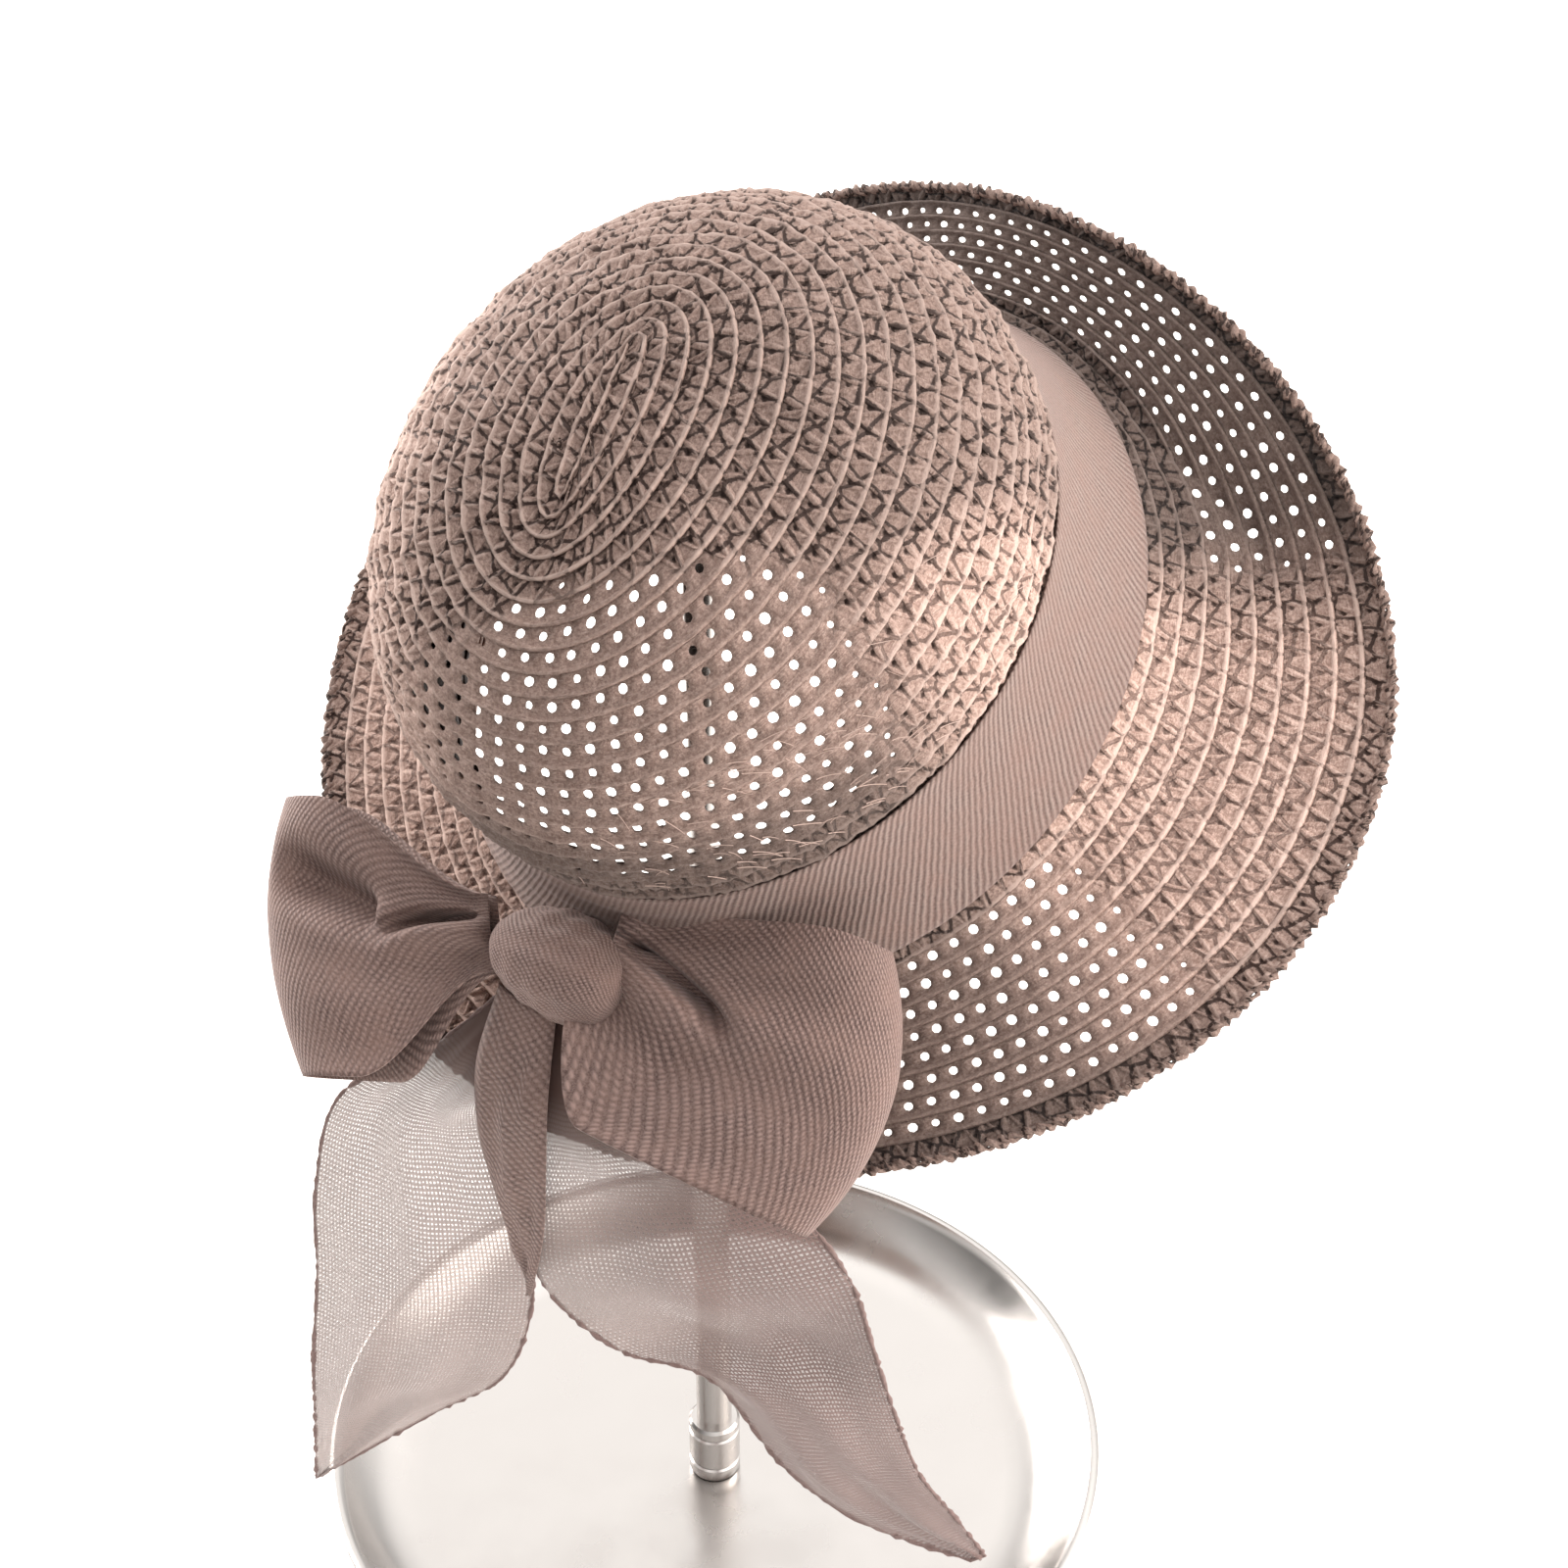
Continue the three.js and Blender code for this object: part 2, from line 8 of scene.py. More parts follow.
import bpy
import numpy as np
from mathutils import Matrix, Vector


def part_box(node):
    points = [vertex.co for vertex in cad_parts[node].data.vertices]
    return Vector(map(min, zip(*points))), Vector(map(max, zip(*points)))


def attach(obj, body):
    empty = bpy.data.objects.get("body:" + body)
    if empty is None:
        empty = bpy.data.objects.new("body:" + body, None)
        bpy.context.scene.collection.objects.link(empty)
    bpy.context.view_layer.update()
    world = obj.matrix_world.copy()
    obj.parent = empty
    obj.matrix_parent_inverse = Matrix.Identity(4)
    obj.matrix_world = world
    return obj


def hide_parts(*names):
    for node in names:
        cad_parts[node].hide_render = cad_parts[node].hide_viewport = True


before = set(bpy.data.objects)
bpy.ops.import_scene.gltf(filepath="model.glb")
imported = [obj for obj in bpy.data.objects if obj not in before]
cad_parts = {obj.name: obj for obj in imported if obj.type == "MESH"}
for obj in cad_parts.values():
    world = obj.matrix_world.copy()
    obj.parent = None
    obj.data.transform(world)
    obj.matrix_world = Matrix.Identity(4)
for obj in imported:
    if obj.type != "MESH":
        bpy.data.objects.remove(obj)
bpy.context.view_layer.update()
bpy.ops.object.select_all(action="DESELECT")


# The camera stands behind the hat and looks down on it, as in the photograph.
CAMERA_TURN = math.radians(51.7)
CAMERA_TILT = math.radians(38.0)
CAMERA_PLACE = (0.63853, -0.47474, 0.91576)
CAMERA_LENS = 81.0  # millimetres, on a sensor 36 mm wide

bpy.ops.object.camera_add(location=CAMERA_PLACE)
camera = bpy.context.object
camera.data.lens = CAMERA_LENS
camera.data.sensor_width = 36.0
towards_camera = Vector((
    math.sin(CAMERA_TURN) * math.cos(CAMERA_TILT),
    -math.cos(CAMERA_TURN) * math.cos(CAMERA_TILT),
    math.sin(CAMERA_TILT),
))
camera.rotation_euler = (-towards_camera).to_track_quat("-Z", "Y").to_euler()
bpy.context.scene.camera = camera
bpy.context.scene.view_settings.view_transform = "Standard"


# Stand. A shallow pressed dish, a post with a thinner tube standing in its foot, a clamping
# collar, and a round-edged disc that the crown sits on. All are steel and chrome plated.
BASE_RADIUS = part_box("stand_base")[1].x
BASE_RIM_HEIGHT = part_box("stand_base")[1].z
BASE_FLOOR = 0.004
POST_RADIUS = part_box("stand_post")[1].x
POST_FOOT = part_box("stand_post")[0].z
POST_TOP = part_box("stand_post")[1].z
COLLAR_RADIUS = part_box("stand_collar")[1].x
COLLAR_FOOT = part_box("stand_collar")[0].z
COLLAR_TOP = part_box("stand_collar")[1].z
REST_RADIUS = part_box("stand_rest")[1].x
REST_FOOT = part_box("stand_rest")[0].z
REST_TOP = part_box("stand_rest")[1].z
COLLAR_GROOVE = 0.0007
SOCKET_LENGTH = 0.18
SHARP_EDGE = math.radians(35)


def linear(code):
    """An sRGB colour such as a58070, as linear red, green, blue and alpha."""
    parts = [int(code[k:k + 2], 16) / 255 for k in (0, 2, 4)]
    return [c / 12.92 if c <= 0.04045 else ((c + 0.055) / 1.055) ** 2.4 for c in parts] + [1.0]


def add_node(material, kind, sockets=(), **settings):
    """Adds a node; sockets pairs an input's name or number with a value, an output or a node.

    A node given for an input is linked by the first of its outputs that is in use.
    """
    node = material.node_tree.nodes.new(kind)
    for name, value in settings.items():
        setattr(node, name, value)
    for socket, value in dict(sockets).items():
        if isinstance(value, bpy.types.Node):
            value = next(output for output in value.outputs if output.enabled)
        if isinstance(value, bpy.types.NodeSocket):
            material.node_tree.links.new(value, node.inputs[socket])
        else:
            node.inputs[socket].default_value = value
    return node


def new_material(name):
    """An empty node material with its output node."""
    material = bpy.data.materials.new(name)
    material.use_nodes = True
    material.node_tree.nodes.clear()
    return material


def give(piece, material):
    """Sets a finished piece's material and hangs it from the root body."""
    piece.data.materials.clear()
    piece.data.materials.append(material)
    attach(piece, "root")


def turned_up(name, rows, sides):
    """A solid turned round the post's axis, extruded ring by ring up its (radius, height) rows."""
    radius, height = rows[0]
    bpy.ops.mesh.primitive_circle_add(
        vertices=sides, radius=radius, fill_type="NGON", location=(0, 0, height))
    piece = bpy.context.object
    piece.name = name
    bpy.ops.object.mode_set(mode="EDIT")
    bpy.ops.mesh.select_all(action="SELECT")
    for new_radius, new_height in rows[1:]:
        bpy.ops.mesh.extrude_region_move(
            TRANSFORM_OT_translate={"value": (0, 0, new_height - height)})
        share = new_radius / radius
        bpy.ops.transform.resize(
            value=(share, share, 1), center_override=(0, 0, new_height))
        radius, height = new_radius, new_height
    bpy.ops.mesh.select_all(action="SELECT")
    bpy.ops.mesh.normals_make_consistent(inside=False)
    bpy.ops.object.mode_set(mode="OBJECT")
    bpy.ops.object.transform_apply(location=True, rotation=True, scale=True)
    bpy.ops.object.shade_smooth_by_angle(angle=SHARP_EDGE)
    piece.select_set(False)
    return piece


# Polished chrome plate: a grey mirror with wiping haze, which blurs what it shows of the room.
chrome = new_material("polished_chrome_plate")
haze = add_node(chrome, "ShaderNodeTexNoise", {
    "Vector": add_node(chrome, "ShaderNodeTexCoord").outputs["Object"], "Scale": 35.0, "Detail": 4.0})
shine = add_node(chrome, "ShaderNodeMapRange", {
    "Value": haze, "From Min": 0.35, "From Max": 0.7, "To Min": 0.19, "To Max": 0.31})
plate = add_node(chrome, "ShaderNodeBsdfPrincipled", {
    "Base Color": linear("bbb7b4"), "Metallic": 1.0, "Roughness": shine})
add_node(chrome, "ShaderNodeOutputMaterial", {"Surface": plate})

# Shares of the dish's radius and height, up its outside, over the rim and down into the dish.
DISH_WALL = [
    (0.8125, 0.0), (0.88, 0.07), (0.9375, 0.25), (0.975, 0.55), (0.992, 0.85), (1.0, 0.95),
    (0.9935, 0.99), (0.984, 1.0), (0.975, 0.98), (0.961, 0.875), (0.93, 0.66), (0.891, 0.45),
    (0.85, 0.28)]
dish = turned_up(
    "stand_dish", [(BASE_RADIUS * out, BASE_RIM_HEIGHT * up) for out, up in DISH_WALL] + [
        (BASE_RADIUS * 0.797, BASE_FLOOR + 0.0003), (BASE_RADIUS * 0.76, BASE_FLOOR),
        (COLLAR_RADIUS * 1.9, BASE_FLOOR)], 160)
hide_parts("stand_base")

post = turned_up("stand_pole", [
    (POST_RADIUS * 0.9, POST_FOOT), (POST_RADIUS, POST_FOOT + 0.0008),
    (POST_RADIUS, POST_FOOT + SOCKET_LENGTH), (POST_RADIUS * 0.82, POST_FOOT + SOCKET_LENGTH + 0.0012),
    (POST_RADIUS * 0.82, POST_TOP)], 48)
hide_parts("stand_post")

collar = turned_up("stand_clamp_collar", [
    (COLLAR_RADIUS * 0.95, COLLAR_FOOT), (COLLAR_RADIUS, COLLAR_FOOT + 0.0008),
    (COLLAR_RADIUS, COLLAR_FOOT + 0.0045), (COLLAR_RADIUS - COLLAR_GROOVE, COLLAR_FOOT + 0.005),
    (COLLAR_RADIUS - COLLAR_GROOVE, COLLAR_FOOT + 0.006), (COLLAR_RADIUS, COLLAR_FOOT + 0.0065),
    (COLLAR_RADIUS, COLLAR_TOP - 0.0055), (COLLAR_RADIUS - COLLAR_GROOVE, COLLAR_TOP - 0.005),
    (COLLAR_RADIUS - COLLAR_GROOVE, COLLAR_TOP - 0.004), (COLLAR_RADIUS, COLLAR_TOP - 0.0035),
    (COLLAR_RADIUS, COLLAR_TOP - 0.001), (COLLAR_RADIUS * 0.9, COLLAR_TOP)], 48)
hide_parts("stand_collar")

rest = turned_up("stand_rest_disc", [
    (POST_RADIUS * 1.6, REST_FOOT), (REST_RADIUS * 0.875, REST_FOOT + 0.0006),
    (REST_RADIUS * 0.97, REST_FOOT + 0.0016), (REST_RADIUS, REST_FOOT + 0.0032),
    (REST_RADIUS * 0.985, REST_FOOT + 0.0048), (REST_RADIUS * 0.94, REST_FOOT + 0.0062),
    (REST_RADIUS * 0.8, REST_TOP - 0.0029), (REST_RADIUS * 0.6, REST_TOP - 0.0015),
    (REST_RADIUS * 0.33, REST_TOP - 0.0004), (REST_RADIUS * 0.1, REST_TOP)], 64)
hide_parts("stand_rest")

for metal_piece in (dish, post, collar, rest):
    give(metal_piece, chrome)


# Crown. One long openwork braid of paper straw, wound from an oval start at the top and sewn
# edge over edge down to the band. It leans back on the stand and a little to one side.
CROWN_HALF_WIDTH = 0.0858
CROWN_HALF_LENGTH = 0.0985
DOME_HEIGHT = 0.0926
WIDEST_Z = 0.018  # above the band's top edge, where the hat's own height is zero
DOME_POWER = 2.05
BAND_HEIGHT = 0.053
BAND_WALL = 0.0012
BAND_FLARE = 0.0123
BAND_FLARE_POWER = 1.6
BAND_INSET = 0.0005
CLEARANCE = 0.00035
SPLIT_Z = -0.040  # crown and brim meet here behind the band
LEAN_BACK = math.radians(36)
LEAN_SIDE = math.radians(13)
SEAT_DROP = 0.1039  # from the top of the rest down to the middle of the band's top edge
HAT_AT = np.array([0.0008, 0.0126, REST_TOP - SEAT_DROP])
BACK_COS, BACK_SIN = math.cos(LEAN_BACK), math.sin(LEAN_BACK)
SIDE_COS, SIDE_SIN = math.cos(LEAN_SIDE), math.sin(LEAN_SIDE)
HAT_TURN = np.array([
    [SIDE_COS, 0.0, SIDE_SIN],
    [BACK_SIN * SIDE_SIN, BACK_COS, -BACK_SIN * SIDE_COS],
    [-BACK_COS * SIDE_SIN, BACK_SIN, BACK_COS * SIDE_COS],
])
START_HALF = (-0.0065, 0.0195)  # half of the oval start's middle line, across and along the hat
BRAID_WIDTH = 0.00645
CELL_LENGTH = 0.0068
BRAID_THICK = 0.0007
HOLE_MIDDLE = 0.38  # share of the way across the braid
HOLE_RADIUS = 0.00135
WHOLE_TURN = 2 * math.pi


def on_hat(points):
    """Points in the hat's own axes, put where the hat hangs on its stand."""
    return points @ HAT_TURN.T + HAT_AT


def smooth(low, high, x):
    """0 below low, 1 above high, and a soft step between."""
    t = np.clip((x - low) / (high - low), 0.0, 1.0)
    return t * t * (3 - 2 * t)


def unit(vectors):
    """Vectors, one a row, brought to length 1."""
    return vectors / np.linalg.norm(vectors, axis=-1, keepdims=True)


def run_along(line):
    """Distance along a line of points from the first of them to each."""
    return np.concatenate([[0.0], np.cumsum(np.linalg.norm(np.diff(line, axis=0), axis=1))])


def degrees_round(turn):
    """An angle from the front, clockwise from above, as 0 to 360 degrees."""
    return np.degrees(np.mod(turn, WHOLE_TURN))


def either_way(turn):
    """An angle from the front as -pi to pi."""
    return np.arctan2(np.sin(turn), np.cos(turn))


def points_of(piece):
    """The points of a piece's mesh, one a row."""
    flat = np.empty(len(piece.data.vertices) * 3, np.float32)
    piece.data.vertices.foreach_get("co", flat)
    return flat.reshape(-1, 3).astype(float)


def faces_of(piece):
    """The corners of each face of a mesh of quads, one face a row."""
    return np.array([list(face.vertices) for face in piece.data.polygons])


def band_out(z):
    """How far the ribbon band's face stands beyond the crown's widest ring, at height z."""
    return -BAND_INSET + BAND_FLARE * np.power(np.maximum(0.0, -z) / BAND_HEIGHT, BAND_FLARE_POWER)


def straw_out(z):
    """The same for the straw behind the band."""
    slope = BAND_FLARE * BAND_FLARE_POWER / BAND_HEIGHT
    return band_out(z) - (BAND_WALL + CLEARANCE) * math.hypot(1.0, slope)


CURVE_STEPS = 400
meridian_turn = np.linspace(math.pi / 2, 0.0, CURVE_STEPS)
meridian_out = np.cos(meridian_turn) ** (2 / DOME_POWER)
meridian_up = np.sin(meridian_turn) ** (2 / DOME_POWER)
meridian_steps = np.hypot(
    np.diff(meridian_out) * (CROWN_HALF_WIDTH + CROWN_HALF_LENGTH) / 2,
    np.diff(meridian_up) * DOME_HEIGHT)
meridian_run = np.concatenate([[0.0], np.cumsum(meridian_steps)])
DOME_RUN = meridian_run[-1]
ROW_STEP = 0.0058  # between the first rows, opening by ROW_GROWTH twice over for each row after
ROW_GROWTH = 0.00008


def row_run(row):
    """Distance down the crown from its oval start to the inner edge of a row."""
    row = np.maximum(0.0, row)
    return ROW_STEP * row + ROW_GROWTH * row * row


def row_of(run):
    """The row at a distance down the crown, the inverse of row_run."""
    return (math.sqrt(ROW_STEP ** 2 + 4 * ROW_GROWTH * run) - ROW_STEP) / (2 * ROW_GROWTH)


BAND_ROW = row_of(DOME_RUN + WIDEST_Z)
LAST_ROW = row_of(DOME_RUN + WIDEST_Z - SPLIT_Z)


def crown_place(turn, row):
    """Point and outward direction on the crown for an angle from the front and a braid row."""
    run = row_run(row)
    share = np.interp(run, meridian_run, meridian_out)
    x = CROWN_HALF_WIDTH * share * np.sin(turn) + START_HALF[0] * (1 - share) * np.cos(turn)
    y = CROWN_HALF_LENGTH * share * np.cos(turn) + START_HALF[1] * (1 - share) * np.cos(turn)
    across = np.minimum(1.0, np.hypot(x / CROWN_HALF_WIDTH, y / CROWN_HALF_LENGTH)) + 1e-6
    up = np.maximum(0.0, 1 - across ** DOME_POWER) ** (1 / DOME_POWER)
    below = np.maximum(0.0, run - DOME_RUN)
    z = np.where(below > 0, WIDEST_Z - below, WIDEST_Z + DOME_HEIGHT * up)
    drawn_in = -0.0004 * (1 - z / WIDEST_Z)
    straight = drawn_in + (straw_out(np.minimum(0.0, z)) - drawn_in) * (1 - smooth(-0.001, 0.004, z))
    out = np.where(below > 0, straight, 0.0)
    x = np.where(below > 0, (CROWN_HALF_WIDTH + out) * np.sin(turn), x)
    y = np.where(below > 0, (CROWN_HALF_LENGTH + out) * np.cos(turn), y)
    slope = across ** (DOME_POWER - 2)
    direction = np.stack([
        x / CROWN_HALF_WIDTH ** 2 * slope, y / CROWN_HALF_LENGTH ** 2 * slope,
        np.where(below > 0, 0.0, up ** (DOME_POWER - 1) / DOME_HEIGHT)], -1)
    return np.stack([x, y, z], -1), unit(direction)


def flat_grid(name, stations, profile, hole=None):
    """A cell as a flat grid: shares of its length, and rows of share across and height.

    The point numbered hole is left selected, and the points round it are drawn into a circle.
    """
    columns, rows = len(stations) - 1, len(profile) - 1
    bpy.ops.mesh.primitive_grid_add(x_subdivisions=columns, y_subdivisions=rows, size=1.0)
    sheet = bpy.context.object
    sheet.name = name
    ring = []
    for vertex in sheet.data.vertices:
        i, j = round((vertex.co.x + 0.5) * columns), round((vertex.co.y + 0.5) * rows)
        vertex.co = (stations[i] * CELL_LENGTH, profile[j][0] * BRAID_WIDTH, profile[j][1])
        vertex.select = (i, j) == hole
        if hole is not None and max(abs(i - hole[0]), abs(j - hole[1])) == 1:
            ring.append(vertex.index)
    for polygon in sheet.data.polygons:
        polygon.select = False
    for edge in sheet.data.edges:
        edge.select = False
    for index in ring:
        vertex = sheet.data.vertices[index]
        from_middle = vertex.co - Vector((0.5 * CELL_LENGTH, HOLE_MIDDLE * BRAID_WIDTH, 0.0))
        from_middle.z = 0.0
        from_middle *= HOLE_RADIUS / from_middle.length
        vertex.co.x = 0.5 * CELL_LENGTH + from_middle.x
        vertex.co.y = HOLE_MIDDLE * BRAID_WIDTH + from_middle.y
    return sheet


def walled(sheet):
    """Gives a flat cell its thickness, opens its ends and returns its points and faces."""
    wall = sheet.modifiers.new("wall", "SOLIDIFY")
    wall.thickness = BRAID_THICK
    wall.offset = -1.0
    bpy.ops.object.modifier_apply(modifier="wall")
    points, faces = points_of(sheet), faces_of(sheet)
    points[points[:, 0] < CELL_LENGTH * 0.03, 0] = 0.0
    points[points[:, 0] > CELL_LENGTH * 0.97, 0] = CELL_LENGTH
    bpy.data.objects.remove(sheet)
    return points, faces[np.ptp(points[faces, 0], axis=1) > 1e-7]


def strand_strip(start, end, width, height, steps):
    """A puffy strand laid over a cell from start to end, both (along, across, height)."""
    bpy.ops.mesh.primitive_grid_add(x_subdivisions=2, y_subdivisions=steps, size=1.0)
    strip = bpy.context.object
    start, end = Vector(start), Vector(end)
    beside = Vector(((start - end).y, (end - start).x, 0.0)).normalized()
    for vertex in strip.data.vertices:
        across, along = vertex.co.x * 2, vertex.co.y + 0.5
        swell = 0.65 + 0.35 * math.sin(math.pi * along)
        crown = height * (1 - across * across) * swell - height * 0.35
        vertex.co = start.lerp(end, along) + beside * across * width * 0.5 * swell + Vector((0, 0, crown))
    points, faces = points_of(strip), faces_of(strip)
    bpy.data.objects.remove(strip)
    return points, faces


def braid_cell(stations, profile, hole=None, strands=(), dimple=0.0):
    """One cell of braid: its points, its faces when shut and its faces when open.

    A shut cell has a dimple where an open one has its hole, and strands laid over it.
    """
    if hole is None:
        points, shut = walled(flat_grid("plain_cell", stations, profile))
        return points, shut, shut
    dimpled = flat_grid("shut_cell", stations, profile, hole)
    dimpled.data.vertices[hole[1] * len(stations) + hole[0]].co.z -= dimple
    points, shut = walled(dimpled)
    pierced = flat_grid("open_cell", stations, profile, hole)
    bpy.context.tool_settings.mesh_select_mode = (True, False, False)
    bpy.ops.object.mode_set(mode="EDIT")
    bpy.ops.mesh.delete(type="VERT")
    bpy.ops.object.mode_set(mode="OBJECT")
    open_points, open_faces = walled(pierced)
    same = np.array([np.argmin(np.linalg.norm(points - place, axis=1)) for place in open_points])
    opened = same[open_faces]
    for strand in strands:
        more, faces = strand_strip(*strand)
        shut = np.concatenate([shut, faces + len(points)])
        points = np.concatenate([points, more])
    return points, shut, opened


random = np.random.default_rng(7)
LUMP_WAVES = random.normal(size=(18, 3)) * np.repeat([330.0, 900.0, 2300.0], 6)[:, None]
LUMP_SHIFTS = random.uniform(0, WHOLE_TURN, 18)
LUMP_SIZES = np.repeat([0.8, 0.75, 0.8], 6)


def lumps(points):
    """Unevenness of hand-sewn straw, about -1 to 1, the same wherever it is read."""
    waves = np.sin(points @ LUMP_WAVES.T + LUMP_SHIFTS)
    return waves @ LUMP_SIZES / 4.0


def lay_braid(cell, place, first_turn, last_turn, row_at, closed, relief, openness, tone, lump_size):
    """Copies of a cell laid end to end along a row and bent to the hat's surface.

    relief scales the cell's height, openness(turn, row) says how wide each cell's hole is, with no hole
    below a half, and tone(turn, row) how much painted light or shade the straw takes. Gives points,
    faces, the place of each face corner along and across the braid in cells, and for each point its
    height in the weave (cut to under half in open cells, so that their painted shade is weaker), how open
    it is and its painted light or shade.
    """
    master, shut, pierced = cell
    fine = np.linspace(first_turn, last_turn, max(64, int(abs(last_turn - first_turn) * 60)))
    middle = place(fine, row_at(fine) + 0.5)[0]
    run = run_along(middle)
    count = max(3, round(run[-1] / CELL_LENGTH))
    step = run[-1] / count
    left = np.flatnonzero(master[:, 0] < 1e-9)
    right = np.flatnonzero(master[:, 0] > CELL_LENGTH - 1e-9)
    partner = {r: min(left, key=lambda m: np.linalg.norm(master[m, 1:] - master[r, 1:])) for r in right}
    own = np.concatenate([left, np.setdiff1d(np.arange(len(master)), np.concatenate([left, right]))])
    rank = np.full(len(master), -1)
    rank[own] = np.arange(len(own))
    cells = count if closed else count + 1
    local = np.broadcast_to(master[own], (cells, len(own), 3)).copy()
    turn_mid = np.interp((np.arange(cells) + 0.5) * step, run, fine)
    width = openness(turn_mid, row_at(turn_mid))
    is_open = (width > 0.5)[:count]
    size = np.where(width > 0.5, width, 1.0) * random.uniform(0.82, 1.1, cells)
    centre = np.array([CELL_LENGTH * 0.5, HOLE_MIDDLE * BRAID_WIDTH])
    from_hole = local[:, :, :2] - centre
    near = 1 - smooth(HOLE_RADIUS * 1.05, HOLE_RADIUS * 1.9, np.linalg.norm(from_hole, axis=2))
    nudge = random.normal(scale=0.00016, size=(cells, 1, 2))
    local[:, :, :2] += from_hole * ((size[:, None] - 1) * near)[..., None] + nudge * near[..., None]
    along = (np.arange(cells)[:, None] + local[:, :, 0] / CELL_LENGTH) * step
    turn = np.interp(along, run, fine)
    row = row_at(turn) + local[:, :, 1] / BRAID_WIDTH
    points, directions = place(turn, row)
    uneven = lumps(points)
    rise = local[:, :, 2] * relief * (1 + 0.5 * uneven) + lump_size * uneven
    points = points + directions * rise[..., None]
    # Open cells keep 0.45 of their height here, so the painted shade in their hollows is weaker.
    height = local[:, :, 2] * np.where(width > 0.5, 0.45, 1.0)[:, None]
    index = np.empty((count, len(master)), int)
    for v in range(len(master)):
        number = np.arange(count) + (1 if v in partner else 0)
        index[:, v] = (number % cells) * len(own) + rank[partner.get(v, v)]
    corner_place = np.stack([
        np.broadcast_to(np.arange(count)[:, None] + master[None, :, 0] / CELL_LENGTH, index.shape),
        row_at(turn_mid[:count])[:, None].round() + master[None, :, 1] / BRAID_WIDTH], -1)
    faces, corners = [], []
    for kind, chosen in ((shut, ~is_open), (pierced, is_open)):
        faces.append(index[chosen][:, kind].reshape(-1, 4))
        corners.append(corner_place[chosen][:, kind].reshape(-1, 2))
    faces = np.concatenate(faces)
    used, faces = np.unique(faces, return_inverse=True)
    openings = np.broadcast_to(width[:, None], height.shape)
    tones = tone(turn, row)
    weave = np.stack([height.ravel()[used], openings.ravel()[used], tones.ravel()[used]], -1)
    return points.reshape(-1, 3)[used], faces.reshape(-1, 4), np.concatenate(corners), weave


def joined_piece(name, parts):
    """One mesh from several runs of braid, with their places along the braid as its UV map."""
    starts = np.cumsum([0] + [len(p[0]) for p in parts])
    points = on_hat(np.concatenate([p[0] for p in parts]))
    faces = np.concatenate([p[1] + start for p, start in zip(parts, starts)])
    corners = np.concatenate([p[2] for p in parts])
    mesh = bpy.data.meshes.new(name)
    mesh.vertices.add(len(points))
    mesh.vertices.foreach_set("co", points.astype(np.float32).ravel())
    mesh.loops.add(faces.size)
    mesh.loops.foreach_set("vertex_index", faces.astype(np.int32).ravel())
    mesh.polygons.add(len(faces))
    mesh.polygons.foreach_set("loop_start", np.arange(0, faces.size, faces.shape[1], dtype=np.int32))
    mesh.uv_layers.new(name="braid")
    mesh.uv_layers["braid"].data.foreach_set("uv", corners.astype(np.float32).ravel())
    weave = np.concatenate([p[3] for p in parts]).astype(np.float32)
    for column, attribute in enumerate(("weave_height", "weave_opening", "straw_tone_and_painted_light")):
        mesh.attributes.new(attribute, "FLOAT", "POINT")
        mesh.attributes[attribute].data.foreach_set("value", weave[:, column].copy())
    mesh.update(calc_edges=True)
    mesh.validate()
    mesh.polygons.foreach_set("use_smooth", np.ones(len(mesh.polygons), bool))
    piece = bpy.data.objects.new(name, mesh)
    bpy.context.scene.collection.objects.link(piece)
    return piece


# Paper straw: flat twisted fibres with a dry, fibrous face, dyed a dusty mauve brown. It is matt, uneven
# in colour from strand to strand and cracked between strands, with painted shade in the gaps and cracks
# and a painted highlight on the raised crests. The weave's own attributes say how deep and how open it is
# at each point, and how much painted light or shade it takes.
straw = new_material("dyed_paper_straw")
straw_uv = add_node(straw, "ShaderNodeUVMap", uv_map="braid")
straw_place = add_node(straw, "ShaderNodeTexCoord")
weave = add_node(straw, "ShaderNodeAttribute", attribute_name="weave_height")
fibre_space = add_node(straw, "ShaderNodeMapping", {
    "Vector": straw_uv, "Rotation": (0.0, 0.0, math.radians(-24)), "Scale": (2.2, 17.0, 1.0)})
fibres = add_node(straw, "ShaderNodeTexNoise", {
    "Vector": fibre_space, "Scale": 1.0, "Detail": 4.0, "Roughness": 0.65})
patches = add_node(straw, "ShaderNodeTexNoise", {
    "Vector": straw_place.outputs["Object"], "Scale": 60.0, "Detail": 5.0, "Roughness": 0.65})
grain = add_node(straw, "ShaderNodeTexNoise", {
    "Vector": straw_place.outputs["Object"], "Scale": 1000.0, "Detail": 4.0, "Roughness": 0.75})
opening = add_node(straw, "ShaderNodeAttribute", attribute_name="weave_opening")
wander = add_node(straw, "ShaderNodeMix", {
    0: 0.16, 4: straw_uv, 5: grain.outputs["Color"]}, data_type="VECTOR")
crack_space = add_node(straw, "ShaderNodeMapping", {
    "Vector": wander, "Rotation": (0.0, 0.0, math.radians(24)), "Scale": (1.35, 1.1, 1.0)})
cracks = add_node(straw, "ShaderNodeTexVoronoi", {
    "Vector": crack_space, "Scale": 1.0, "Randomness": 0.5},
    feature="DISTANCE_TO_EDGE", voronoi_dimensions="2D")
split_from = add_node(straw, "ShaderNodeMath", {
    0: patches, 1: 0.16, 2: -0.03}, operation="MULTIPLY_ADD")
crack_line = add_node(straw, "ShaderNodeMapRange", {
    "Value": cracks, "From Min": split_from, "From Max": 0.085})
ridge = add_node(straw, "ShaderNodeMapRange", {
    "Value": weave.outputs["Fac"], "From Min": 0.0002, "From Max": 0.0007, "To Max": 0.75})
sewn = add_node(straw, "ShaderNodeMath", {0: ridge, 1: opening.outputs["Fac"]}, operation="MAXIMUM")
uncracked = add_node(straw, "ShaderNodeMath", {0: crack_line, 1: sewn}, operation="MAXIMUM")
